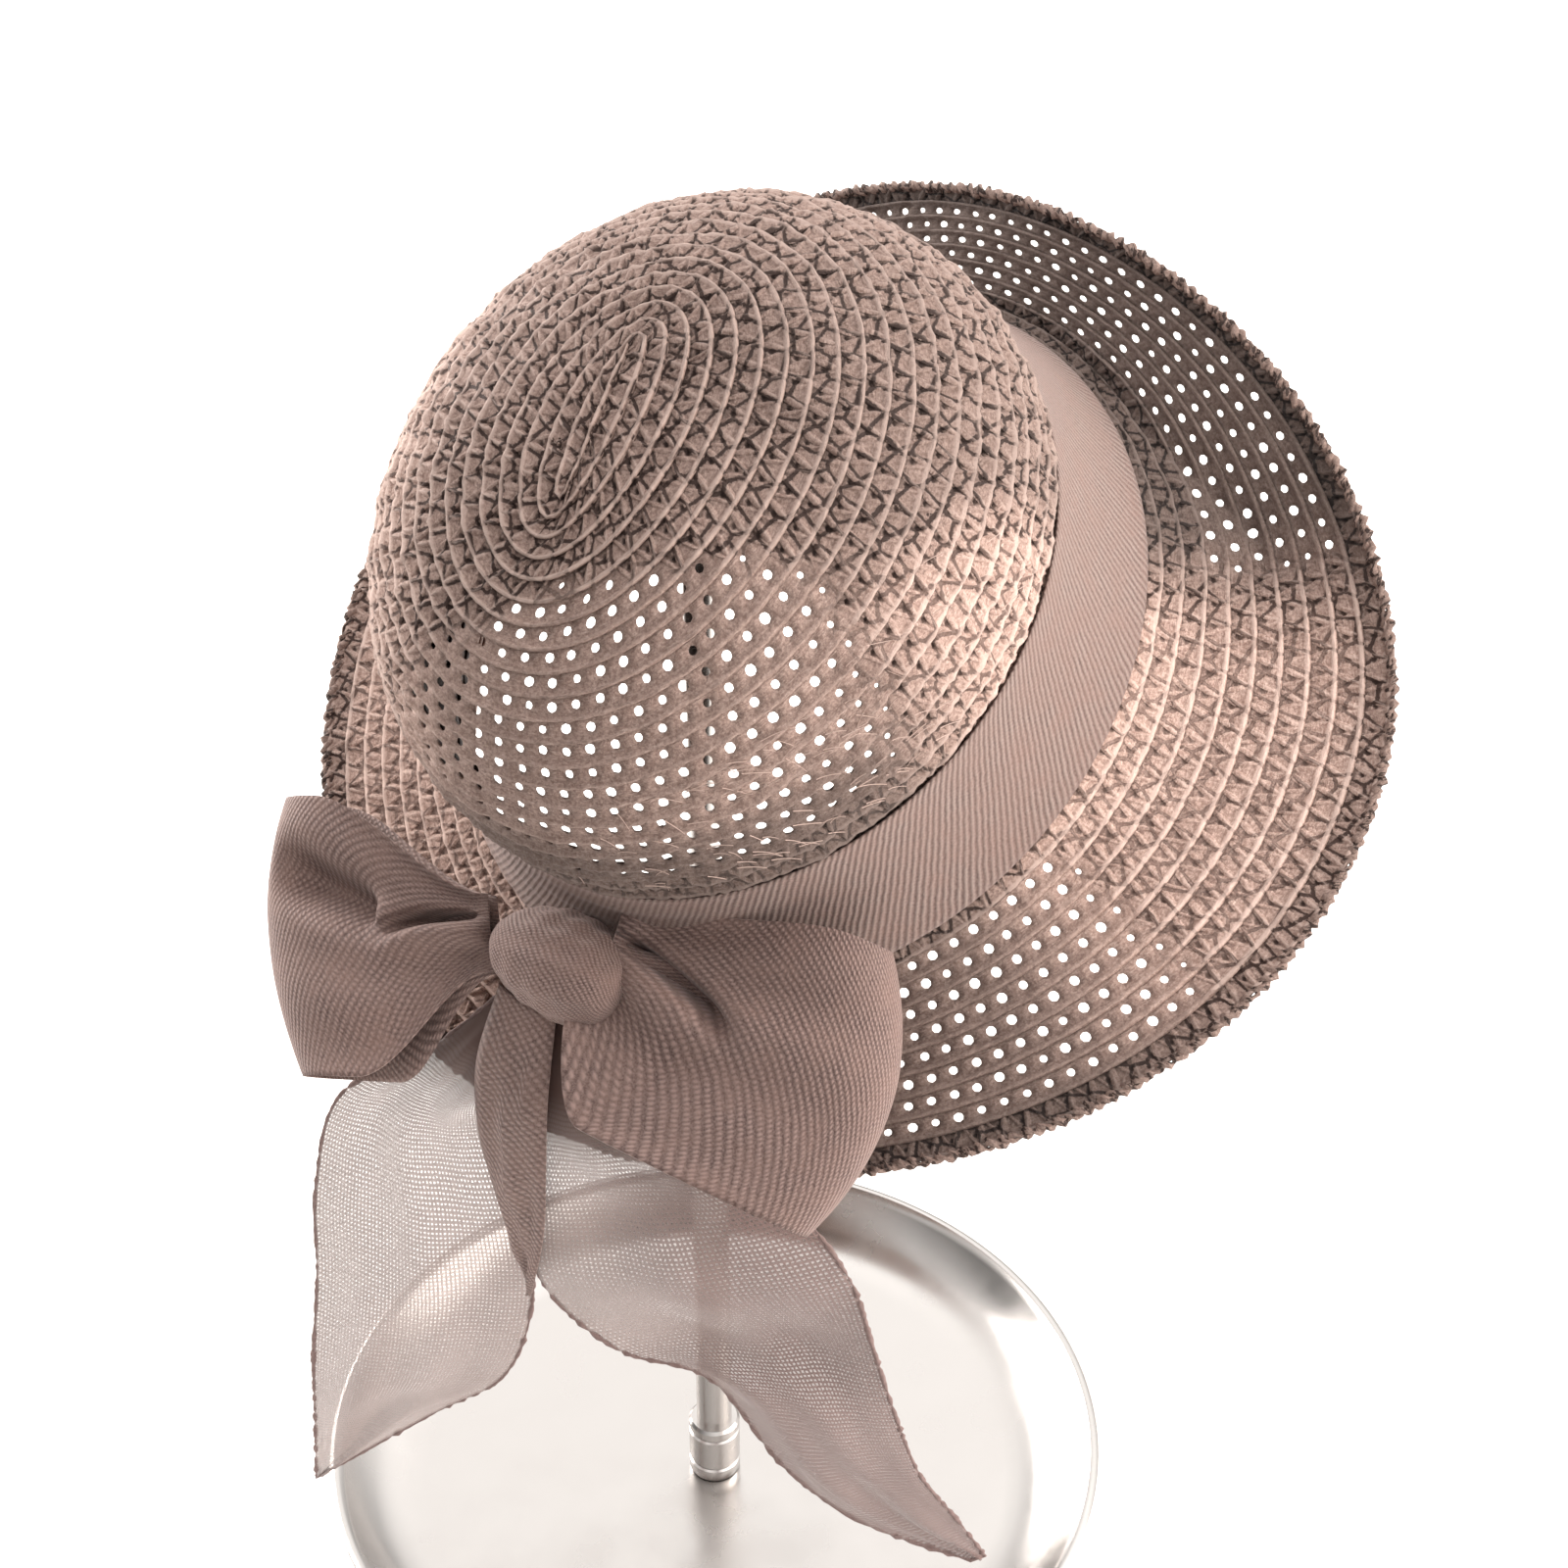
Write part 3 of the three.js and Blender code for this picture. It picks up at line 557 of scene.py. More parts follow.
fibre_tone = add_node(straw, "ShaderNodeMapRange", {
    "Value": fibres, "From Min": 0.32, "From Max": 0.68})
grain_tone = add_node(straw, "ShaderNodeMapRange", {
    "Value": grain, "From Min": 0.38, "From Max": 0.62})
patch_tone = add_node(straw, "ShaderNodeMapRange", {
    "Value": patches, "From Min": 0.3, "From Max": 0.72, "To Max": 0.5})
strand = add_node(straw, "ShaderNodeMix", {
    0: fibre_tone, 6: linear("8e7368"), 7: linear("c4aca1")}, data_type="RGBA")
worn = add_node(straw, "ShaderNodeMix", {
    0: patch_tone, 6: strand, 7: linear("a38c82")}, data_type="RGBA")
speckled = add_node(straw, "ShaderNodeMix", {
    0: grain_tone, 6: linear("80675d"), 7: worn}, data_type="RGBA")
# Painted highlight: the raised crests of the weave are painted paler.
crest_highlighted = add_node(straw, "ShaderNodeMix", {
    0: ridge, 6: speckled, 7: linear("b8a197")}, data_type="RGBA")
rough_height = add_node(straw, "ShaderNodeMath", {
    0: grain, 1: 0.0009, 2: weave.outputs["Fac"]}, operation="MULTIPLY_ADD")
depth = add_node(straw, "ShaderNodeMapRange", {
    "Value": rough_height, "From Min": -0.0008, "From Max": 0.0})
open_face = add_node(straw, "ShaderNodeMath", {0: depth, 1: uncracked}, operation="MULTIPLY")
tone_at = add_node(straw, "ShaderNodeAttribute", attribute_name="straw_tone_and_painted_light")
# Where the painted light is strong, the gaps take less of the painted shade.
lit_gaps = add_node(straw, "ShaderNodeMapRange", {
    "Value": tone_at.outputs["Fac"], "From Min": 1.1, "From Max": 1.6, "To Max": 0.62})
pale_gap = add_node(straw, "ShaderNodeMath", {0: open_face, 1: lit_gaps}, operation="MAXIMUM")
# Painted shade: the deep parts of the weave and the cracks between strands are painted dark brown.
shaded = add_node(straw, "ShaderNodeMix", {
    0: pale_gap, 6: linear("3a2720"), 7: crest_highlighted}, data_type="RGBA")
# The straw's colour scaled by its painted light and shade.
painted_light_scaled = add_node(straw, "ShaderNodeVectorMath", {
    0: shaded, "Scale": tone_at.outputs["Fac"]}, operation="SCALE")
crack_bump = add_node(straw, "ShaderNodeBump", {
    "Height": uncracked, "Strength": 0.8, "Distance": 0.0006})
fibre_bump = add_node(straw, "ShaderNodeBump", {
    "Height": fibres, "Strength": 0.8, "Distance": 0.0007, "Normal": crack_bump})
grain_bump = add_node(straw, "ShaderNodeBump", {
    "Height": grain, "Strength": 0.7, "Distance": 0.0006, "Normal": fibre_bump})
straw_face = add_node(straw, "ShaderNodeBsdfPrincipled", {
    "Base Color": painted_light_scaled, "Roughness": 0.78, "IOR": 1.5, "Normal": grain_bump})
add_node(straw, "ShaderNodeOutputMaterial", {"Surface": straw_face})

# The cell's profile runs from the edge tucked under the row before, over the open part, to the
# crest that the next row is sewn under. Heights are above the crown's smooth face.
STATIONS = [0.0, 0.27, 0.5, 0.73, 1.0]
PROFILE = [
    (-0.14, -0.0011), (0.05, -0.0010), (0.17, -0.0007), (0.38, -0.0005), (0.59, -0.0003),
    (0.76, 0.0), (0.86, 0.0008), (0.96, 0.0008), (1.04, 0.0)]
STRANDS = [
    ((0.0009, 0.0001, -0.0004), (0.0030, 0.0058, 0.0004), 0.0021, 0.0009, 4),
    ((0.0060, 0.0001, -0.0005), (0.0036, 0.0058, 0.0003), 0.0014, 0.0007, 3)]
open_cell = braid_cell(STATIONS, PROFILE, hole=(2, 3), strands=STRANDS, dimple=0.0011)
PLAIN_PROFILE = [(-0.14, -0.0009), (0.30, -0.0006), (0.8, -0.0002), (1.04, -0.0001)]
plain_cell = braid_cell([0.0, 0.5, 1.0], PLAIN_PROFILE)


def wound(turn):
    """The crown's row at an angle along its one long spiral."""
    return turn / WHOLE_TURN


def crown_openness(turn, row):
    """Open over the back and shut elsewhere, with soft pockets beside it and in the low rows."""
    x, y, _ = crown_place(turn, row + 0.5)[0].T
    into_open = 1.08 * x - 0.058 - y
    off_right = smooth(80, 100, degrees_round(turn) - 1.6 * (row - 11.8))
    low_rows = smooth(18.0, 19.5, row)
    return smooth(-0.004, 0.004, into_open) * (1 - 0.6 * low_rows) * (0.3 + 0.68 * off_right)


def crown_painted_light_and_shade(turn, row):
    """Painted light at the left and right, and painted shade over the front and on the low rows above the
    bow.
    """
    x, y, _ = np.moveaxis(crown_place(turn, row)[0], -1, 0)
    # Painted light at the left and right edges of the crown.
    painted_light_left = smooth(0.045, 0.075, -x - 0.6 * y)
    painted_light_right = smooth(0.064, 0.078, x) * smooth(-0.01, 0.02, y)
    shaded_front = smooth(-0.01, 0.04, y) * smooth(-0.03, 0.03, x) * (1 - painted_light_right)
    # Painted shade on the low rows above the bow.
    low_rows = smooth(15.5, 18.5, row) * smooth(92, 106, degrees_round(turn))
    return 0.92 * (1 + 0.4 * painted_light_left + 0.5 * painted_light_right - 0.2 * shaded_front) * (1 - 0.5 * low_rows)


def crown_run(cell, first_row, last_row, relief=1.0):
    """The stretch of the crown's spiral from one row to another."""
    return lay_braid(cell, crown_place, first_row * WHOLE_TURN, last_row * WHOLE_TURN, wound,
                     closed=False, relief=relief, openness=crown_openness, tone=crown_painted_light_and_shade,
                     lump_size=0.00022)


TOP_ROWS = 12.5
SIDE_ROWS = 18.0
# Thick plain braid backs the first rows, where the oval start would gape.
crown_top = joined_piece("crown_top_braid", [
    crown_run(plain_cell, -1.5, 1.6, relief=2.5), crown_run(open_cell, -1.0, TOP_ROWS)])
crown_side = joined_piece("crown_side_braid", [crown_run(open_cell, TOP_ROWS, SIDE_ROWS)])
crown_foot = joined_piece("crown_foot_braid", [
    crown_run(open_cell, SIDE_ROWS, BAND_ROW), crown_run(plain_cell, BAND_ROW, LAST_ROW - 1.0)])
for crown_piece in (crown_top, crown_side, crown_foot):
    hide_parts("crown")
    give(crown_piece, straw)


# Loose ends. Short fibres of straw that have worked out between the lower rows of the crown, with a
# painted highlight that makes them paler than the braid.
FIBRE_COUNT = 110
FIBRE_RADIUS = 0.00016
FIBRE_STEPS = 6
FIBRE_SIDES = 3
# A painted highlight: the loose fibres are painted paler than the braid.
FIBRE_HIGHLIGHT_TONE = 1.3
fibre_turn = np.radians(random.normal(112, 20, FIBRE_COUNT).clip(55, 160))
fibre_row = random.uniform(14.0, 20.0, FIBRE_COUNT)
fibre_length = random.uniform(0.003, 0.008, (FIBRE_COUNT, 1, 1))
fibre_lift = random.uniform(0.0004, 0.0022, (FIBRE_COUNT, 1, 1))
fibre_slant = random.normal(0.25, 0.5, (FIBRE_COUNT, 1, 1))
fibre_root, fibre_out = crown_place(fibre_turn, fibre_row)
fibre_down = unit(crown_place(fibre_turn, fibre_row + 0.5)[0] - fibre_root)
fibre_along = np.cross(fibre_out, fibre_down)
fibre_step = np.linspace(0, 1, FIBRE_STEPS)[None, :, None]
fibre_line = fibre_root[:, None] + fibre_length * fibre_step * (
    np.cos(fibre_slant) * fibre_along[:, None] + np.sin(fibre_slant) * fibre_down[:, None]) + (
    0.0006 + fibre_lift * fibre_step ** 2) * fibre_out[:, None]
fibre_side = WHOLE_TURN * np.arange(FIBRE_SIDES)[None, None, :, None] / FIBRE_SIDES
fibre_ring = fibre_line[:, :, None] + FIBRE_RADIUS * (
    np.cos(fibre_side) * fibre_out[:, None, None] + np.sin(fibre_side) * fibre_down[:, None, None])
fibre_index = np.arange(FIBRE_COUNT * FIBRE_STEPS * FIBRE_SIDES).reshape(
    FIBRE_COUNT, FIBRE_STEPS, FIBRE_SIDES)
fibre_next = np.roll(fibre_index, -1, axis=2)
fibre_faces = np.stack([
    fibre_index[:, :-1], fibre_next[:, :-1], fibre_next[:, 1:], fibre_index[:, 1:]], -1).reshape(-1, 4)
fibre_weave = np.tile((0.0008, 0.0, FIBRE_HIGHLIGHT_TONE), (fibre_index.size, 1))
loose_ends = joined_piece("crown_loose_ends", [
    (fibre_ring.reshape(-1, 3), fibre_faces, np.zeros((fibre_faces.size, 2)), fibre_weave)])
give(loose_ends, straw)


# Brim. The same openwork braid sewn on round after round from under the band, ten rounds wide,
# blocked to a down curve at the sides and back and folded up at the front.
BRIM_ROUNDS = 10
LIP_ROUNDS = 2
BRIM_DROP = 0.0016
RIM_OUT = {
    "mean": 0.0643, "cos1": -0.0033, "cos2": -0.0107, "cos3": -0.0038, "sin1": 0.0032, "sin2": 0.0048}
RIM_Z = {"mean": -0.0803, "cos1": -0.0087, "cos2": 0.0047, "cos3": 0.0, "sin1": 0.0, "sin2": 0.0}
TURN_UP_HEIGHT = 0.042
TURN_UP_HALF_ANGLE = math.radians(62)
TURN_UP_POWER = 1.3
CREASE_OUT = 0.017
CREASE_SPREAD = 0.045
CREASE_FULL_ANGLE = 45.5
CREASE_POWER = 4.2
CREASE_SHARE = 0.38
CREASE_FADE = (32.0, 56.0)


def harmonics(c, turn):
    """A size that swells and shrinks in waves round the hat."""
    return (c["mean"] + c["cos1"] * np.cos(turn) + c["cos2"] * np.cos(2 * turn)
            + c["cos3"] * np.cos(3 * turn) + c["sin1"] * np.sin(turn) + c["sin2"] * np.sin(2 * turn))


def rim_at(turn):
    """How far out and how high the rim runs."""
    share = np.minimum(1.0, np.abs(either_way(turn)) / TURN_UP_HALF_ANGLE)
    lift = TURN_UP_HEIGHT * np.maximum(0.0, np.cos(share * math.pi / 2)) ** TURN_UP_POWER
    return np.stack([harmonics(RIM_OUT, turn), harmonics(RIM_Z, turn) + lift], -1)


def brim_profile(turn, t):
    """How far out and how high the brim runs at share t from the band's edge to the rim."""
    start = np.array([straw_out(-BAND_HEIGHT), -BAND_HEIGHT - BRIM_DROP])
    rim = rim_at(turn)
    reach = np.linalg.norm(rim - start, axis=-1)
    dip = -0.30 - 0.25 * np.cos(turn * 2)
    first = np.stack([start[0] + 0.12 * reach, start[1] - 0.26 * reach], -1)
    second = np.stack([rim[..., 0] - 0.42 * reach, rim[..., 1] + (0.08 + 0.3 * dip) * reach], -1)
    t = t[..., None]
    m = 1 - t
    plain = m ** 3 * start + 3 * m * m * t * first + 3 * m * t * t * second + t ** 3 * rim
    turned = np.degrees(np.abs(either_way(turn)))
    flap = (1 - smooth(*CREASE_FADE, turned))[..., None]
    spread = np.minimum(1.0, turned / CREASE_FULL_ANGLE) ** CREASE_POWER
    crease_out = CREASE_OUT + CREASE_SPREAD * spread
    crease = np.stack([crease_out, -BAND_HEIGHT - 0.002 - (crease_out - 0.011) * 0.75], -1)
    folded = np.where(
        t < CREASE_SHARE, start + (crease - start) * (t / CREASE_SHARE),
        crease + (rim - crease) * ((t - CREASE_SHARE) / (1 - CREASE_SHARE)))
    return plain + (folded - plain) * flap


# A table of the brim's face, even in braid rounds from the lip behind the band out to the rim.
TABLE_TURNS = 720
TABLE_ROWS = 240
table_turn = np.linspace(0, WHOLE_TURN, TABLE_TURNS + 1)
table_row = np.linspace(-LIP_ROUNDS, BRIM_ROUNDS, TABLE_ROWS + 1)
brim_share = np.linspace(0.0, 1.0, CURVE_STEPS)
brim_table = np.empty((TABLE_TURNS + 1, TABLE_ROWS + 1, 2))
for k, one_turn in enumerate(table_turn):
    line = brim_profile(np.full(CURVE_STEPS, one_turn), brim_share)
    so_far = run_along(line)
    wanted = np.clip(table_row / BRIM_ROUNDS, 0.0, 1.0) * so_far[-1]
    lip_z = -BAND_HEIGHT - BRIM_DROP + np.clip(-table_row / LIP_ROUNDS, 0.0, 1.0) * (
        SPLIT_Z - CLEARANCE + BAND_HEIGHT + BRIM_DROP)
    brim_table[k, :, 0] = np.where(
        table_row < 0, straw_out(np.maximum(lip_z, -BAND_HEIGHT)), np.interp(wanted, so_far, line[:, 0]))
    brim_table[k, :, 1] = np.where(table_row < 0, lip_z, np.interp(wanted, so_far, line[:, 1]))
brim_points = np.stack([
    (CROWN_HALF_WIDTH + brim_table[:, :, 0]) * np.sin(table_turn)[:, None],
    (CROWN_HALF_LENGTH + brim_table[:, :, 0]) * np.cos(table_turn)[:, None],
    brim_table[:, :, 1]], -1)
along_turn = np.concatenate([
    brim_points[1:2] - brim_points[-2:-1], brim_points[2:] - brim_points[:-2],
    brim_points[1:2] - brim_points[-2:-1]])
brim_directions = unit(np.cross(along_turn, np.gradient(brim_points, axis=1)))


def brim_place(turn, row):
    """Point and upward direction on the brim for an angle from the front and a braid round."""
    a = np.mod(turn, WHOLE_TURN) / WHOLE_TURN * TABLE_TURNS
    b = np.clip((row + LIP_ROUNDS) / (BRIM_ROUNDS + LIP_ROUNDS), 0.0, 1.0) * TABLE_ROWS
    i, j = np.minimum(a.astype(int), TABLE_TURNS - 1), np.minimum(b.astype(int), TABLE_ROWS - 1)
    s, t = (a - i)[..., None], (b - j)[..., None]
    found = [
        (grid[i, j] * (1 - s) + grid[i + 1, j] * s) * (1 - t)
        + (grid[i, j + 1] * (1 - s) + grid[i + 1, j + 1] * s) * t
        for grid in (brim_points, brim_directions)]
    return found[0], unit(found[1])


def brim_openness(turn, row):
    """Open in front and to the right of the bow, and blocked shut elsewhere."""
    angle = degrees_round(turn)
    front = (1 - smooth(42, 50, angle)) + smooth(300, 310, angle)
    beside_bow = smooth(86, 96, angle) * (1 - smooth(136, 142, angle))
    inner = np.where(front > 0.5, 2.4, 0.4)
    return np.maximum(front, beside_bow) * smooth(inner, inner + 0.5, row) * (1 - smooth(8.2, 8.9, row))


def brim_painted_light_and_shade(turn, row):
    """Painted light on the shut braid, painted shade on the open braid at the front and beside the bow,
    and darker towards the rim.
    """
    angle = degrees_round(turn)
    front = (1 - smooth(38, 58, angle)) + smooth(292, 312, angle)
    beside_bow = smooth(84, 112, angle) * (1 - smooth(142, 156, angle))
    rim = smooth(8.0, 9.5, row)
    return (1.5 - 1.1 * np.maximum(front, 0.8 * beside_bow)) * (1 - 0.3 * rim)


def brim_round(cell, row):
    """One closed round of the brim, joined at a place of its own."""
    start = random.uniform(0, WHOLE_TURN)
    return lay_braid(cell, brim_place, start, start + WHOLE_TURN, lambda turn: row + 0.0 * turn,
                     closed=True, relief=0.8, openness=brim_openness, tone=brim_painted_light_and_shade, lump_size=0.0003)


INNER_ROUNDS = 6
brim_inner = joined_piece("brim_inner_braid", [
    brim_round(plain_cell if row < -0.5 else open_cell, row) for row in range(-LIP_ROUNDS, INNER_ROUNDS)])
brim_outer = joined_piece("brim_outer_braid", [
    brim_round(open_cell, row) for row in range(INNER_ROUNDS, BRIM_ROUNDS)])
for brim_piece in (brim_inner, brim_outer):
    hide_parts("brim")
    give(brim_piece, straw)


# Rim. Two straw strands twisted together and sewn over the raw edge of the last round, which
# leaves the rim rough and a little thicker than the brim.
RIM_STRAND_RADIUS = 0.0011
RIM_TWIST_RADIUS = 0.0008
RIM_TWIST_PITCH = 0.0075
RIM_STEP = 0.0011
RIM_SIDES = 6
RIM_TONE = 0.8
RIM_POINTS = 2000

rim_turn = np.linspace(0, WHOLE_TURN, RIM_POINTS)
rim_run = run_along(brim_place(rim_turn, np.full(RIM_POINTS, float(BRIM_ROUNDS)))[0])
rim_twists = round(rim_run[-1] / RIM_TWIST_PITCH)
rim_steps = int(rim_run[-1] / RIM_STEP)
rim_station = np.arange(rim_steps) / rim_steps
rim_middle, upward = brim_place(
    np.interp(rim_station * rim_run[-1], rim_run, rim_turn), np.full(rim_steps, float(BRIM_ROUNDS)))
outward = np.cross(unit(np.roll(rim_middle, -1, axis=0) - np.roll(rim_middle, 1, axis=0)), upward)
rim_wander = 1 + 0.35 * lumps(rim_middle)[:, None]
rim_parts = []
for strand_number in range(2):
    twist = WHOLE_TURN * (rim_station * rim_twists + strand_number / 2)
    centre_line = rim_middle + RIM_TWIST_RADIUS * rim_wander * (
        np.cos(twist)[:, None] * upward + np.sin(twist)[:, None] * outward)
    side = WHOLE_TURN * np.arange(RIM_SIDES) / RIM_SIDES
    radius = RIM_STRAND_RADIUS * (1 + 0.3 * random.normal(size=(rim_steps, 1, 1)).clip(-1.5, 1.5))
    ring = centre_line[:, None] + radius * (
        np.cos(side)[None, :, None] * upward[:, None] + np.sin(side)[None, :, None] * outward[:, None])
    index = np.arange(rim_steps * RIM_SIDES).reshape(rim_steps, RIM_SIDES)
    after, beside = np.roll(index, -1, axis=0), np.roll(index, -1, axis=1)
    faces = np.stack([index, beside, np.roll(after, -1, axis=1), after], -1).reshape(-1, 4)
    step_place = np.arange(rim_steps)[:, None] * RIM_STEP / CELL_LENGTH + 0 * side
    side_place = np.arange(RIM_SIDES) * RIM_STRAND_RADIUS / BRAID_WIDTH + 0 * step_place
    corner = np.stack([
        np.stack([step_place, step_place, step_place + 0.16, step_place + 0.16], -1),
        np.stack([side_place, side_place + 0.17] * 2, -1)], -1).reshape(-1, 2)
    rim_weave = np.tile((0.0, 0.0, RIM_TONE), (rim_steps * RIM_SIDES, 1))
    rim_parts.append((ring.reshape(-1, 3), faces, corner, rim_weave))
rim = joined_piece("rim_twist", rim_parts)
give(rim, straw)


# Ribbon band. A strip of stiff sheer ribbon drawn round the foot of the crown, flared over the
# start of the brim, with a turned hem along its lower edge and gathers where the bow is tied.
BAND_CLOTH = 0.0005
BAND_COLUMNS = 420
BAND_ROWS = 22
KNOT_TURN = math.radians(169.28)
KNOT_DROP = 0.4528 * BAND_HEIGHT


def band_place(turn, down):
    """Point on the band for an angle and a share down from its top edge, in the hat's axes."""
    z = -BAND_HEIGHT * down
    from_knot = np.abs(either_way(turn - KNOT_TURN))
    gather = np.exp(-((from_knot / 0.55) ** 2))
    folds = 0.0007 * gather * np.cos(9.5 * math.pi * down + 2.5 * from_knot)
    slack = 0.00025 * np.sin(3 * turn + 5 * down) * np.sin(down * math.pi)
    hem = 0.00035 * smooth(0.90, 0.93, down)
    out = band_out(z) + folds * np.sin(down * math.pi) + slack + hem
    return np.stack([
        (CROWN_HALF_WIDTH + out) * np.sin(turn), (CROWN_HALF_LENGTH + out) * np.cos(turn), z], -1)


def laid_on(piece, points, size):
    """Moves a primitive's points and scales its UV map to its cloth's width and length."""
    piece.data.vertices.foreach_set("co", points.astype(np.float32).ravel())
    layer = piece.data.uv_layers[0]
    corners = np.empty(len(piece.data.loops) * 2, np.float32)
    layer.data.foreach_get("uv", corners)
    layer.data.foreach_set("uv", (corners.reshape(-1, 2) * size).astype(np.float32).ravel())
    layer.name = "cloth"
    piece.data.update()


def cloth_grid(name, columns, rows, place, thickness, size, wrap=False):
    """A grid moved to a surface and given its thickness; size is the cloth's width and length."""
    bpy.ops.mesh.primitive_grid_add(x_subdivisions=columns, y_subdivisions=rows, size=1.0)
    piece = bpy.context.object
    piece.name = name
    share = points_of(piece) + 0.5
    laid_on(piece, place(share[:, 0], share[:, 1]), size)
    if wrap:
        bpy.ops.object.mode_set(mode="EDIT")
        bpy.ops.mesh.select_all(action="SELECT")
        bpy.ops.mesh.remove_doubles(threshold=1e-6)
        bpy.ops.object.mode_set(mode="OBJECT")
    bpy.ops.object.shade_smooth()
    wall = piece.modifiers.new("cloth", "SOLIDIFY")
    wall.thickness = thickness
    wall.offset = 0.0
    bpy.ops.object.modifier_apply(modifier="cloth")
    piece.select_set(False)
    return piece


WAVE_REPEAT = 0.314  # metres between the bands of a wave texture at scale 1


def doubled_gauze(name, pitch, slant, cross, dark, light):
    """Ribbed gauze seen doubled over: pitch and slant of its ribs, and how deep its weft cuts."""
    cloth = new_material(name)
    place = add_node(cloth, "ShaderNodeUVMap", uv_map="cloth")
    rib_space = add_node(cloth, "ShaderNodeMapping", {
        "Vector": place, "Rotation": (0.0, 0.0, math.radians(slant))})
    weft_space = add_node(cloth, "ShaderNodeMapping", {
        "Vector": place, "Rotation": (0.0, 0.0, math.radians(slant + 78))})
    ribs = add_node(cloth, "ShaderNodeTexWave", {
        "Vector": rib_space, "Scale": WAVE_REPEAT / pitch, "Distortion": 1.3,
        "Detail": 2.0, "Detail Scale": 1.5})
    weft = add_node(cloth, "ShaderNodeTexWave", {
        "Vector": weft_space, "Scale": WAVE_REPEAT / pitch * 1.5, "Distortion": 1.8,
        "Detail": 2.0, "Detail Scale": 1.5})
    weft_share = add_node(cloth, "ShaderNodeMapRange", {
        "Value": weft.outputs["Fac"], "To Min": 1.0 - cross, "To Max": 1.0})
    threads = add_node(cloth, "ShaderNodeMath", {
        0: ribs.outputs["Fac"], 1: weft_share}, operation="MULTIPLY")
    slubs = add_node(cloth, "ShaderNodeTexNoise", {
        "Vector": add_node(cloth, "ShaderNodeTexCoord").outputs["Object"], "Scale": 90.0,
        "Detail": 7.0, "Roughness": 0.75})
    fuzz = add_node(cloth, "ShaderNodeTexNoise", {
        "Vector": add_node(cloth, "ShaderNodeTexCoord").outputs["Object"], "Scale": 1600.0,
        "Detail": 3.0, "Roughness": 0.7})
    thread_tone = add_node(cloth, "ShaderNodeMapRange", {
        "Value": threads, "From Min": 0.1, "From Max": 0.8})
    slub_tone = add_node(cloth, "ShaderNodeMapRange", {
        "Value": slubs, "From Min": 0.38, "From Max": 0.66, "To Max": 0.7})
    fuzz_tone = add_node(cloth, "ShaderNodeMapRange", {
        "Value": fuzz, "From Min": 0.35, "From Max": 0.65, "To Max": 0.5})
    ribbed = add_node(cloth, "ShaderNodeMix", {
        0: thread_tone, 6: linear(dark), 7: linear(light)}, data_type="RGBA")
    clouded = add_node(cloth, "ShaderNodeMix", {
        0: slub_tone, 6: ribbed, 7: linear("72584f")}, data_type="RGBA")
    fuzzy = add_node(cloth, "ShaderNodeMix", {
        0: fuzz_tone, 6: clouded, 7: linear("8c766f")}, data_type="RGBA")
    rib_bump = add_node(cloth, "ShaderNodeBump", {
        "Height": threads, "Strength": 0.7, "Distance": 0.0005})
    fuzz_bump = add_node(cloth, "ShaderNodeBump", {
        "Height": fuzz, "Strength": 0.4, "Distance": 0.0004, "Normal": rib_bump})
    face = add_node(cloth, "ShaderNodeBsdfPrincipled", {
        "Base Color": fuzzy, "Roughness": 0.75, "Sheen Weight": 0.35,
        "Sheen Roughness": 0.4, "Sheen Tint": linear("dcc9c4"), "Normal": fuzz_bump})
    add_node(cloth, "ShaderNodeOutputMaterial", {"Surface": face})
    return cloth


# Mauve gauze, doubled over and drawn tight: matt thread in fine ribs that run aslant across the
# band, dark between them. The threads are drawn some six times as coarse as the real 0.3 mm.
banded_gauze = doubled_gauze("ribbed_mauve_gauze", 0.0019, -28, 0.2, "4a3732", "85766f")

BAND_LENGTH = 0.600
band = cloth_grid(
    "ribbon_band_cloth", BAND_COLUMNS, BAND_ROWS,
    lambda u, v: on_hat(band_place(-WHOLE_TURN * u, v)), BAND_CLOTH,
    size=(BAND_LENGTH, BAND_HEIGHT), wrap=True)
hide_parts("ribbon_band")
give(band, banded_gauze)


# Bow knot. The ribbon is wound once round the crossing of the bow and pulled tight, so it
# stands out as a short plump roll with a few soft creases along it.
RIBBON_WIDTH = 0.080
KNOT_HALF = np.array([0.225, 0.1875, 0.175]) * RIBBON_WIDTH
KNOT_STAND_OFF = 0.02 * RIBBON_WIDTH
KNOT_LIFT = 0.0015
KNOT_WRAP = 0.17  # length of ribbon gathered once round the roll, longer than the way round it
knot_out = band_out(np.array(-KNOT_DROP)) + KNOT_HALF[1] + KNOT_STAND_OFF
KNOT_AT = np.array([
    (CROWN_HALF_WIDTH + knot_out) * math.sin(KNOT_TURN),
    (CROWN_HALF_LENGTH + knot_out) * math.cos(KNOT_TURN), -KNOT_DROP])

# The same gauze where it is tied: a slanting twill that breaks up into light dots, drawn some
# seven times as coarse as the real thread.
gauze = doubled_gauze("twilled_mauve_gauze", 0.0021, 52, 0.7, "3d2824", "8b736c")

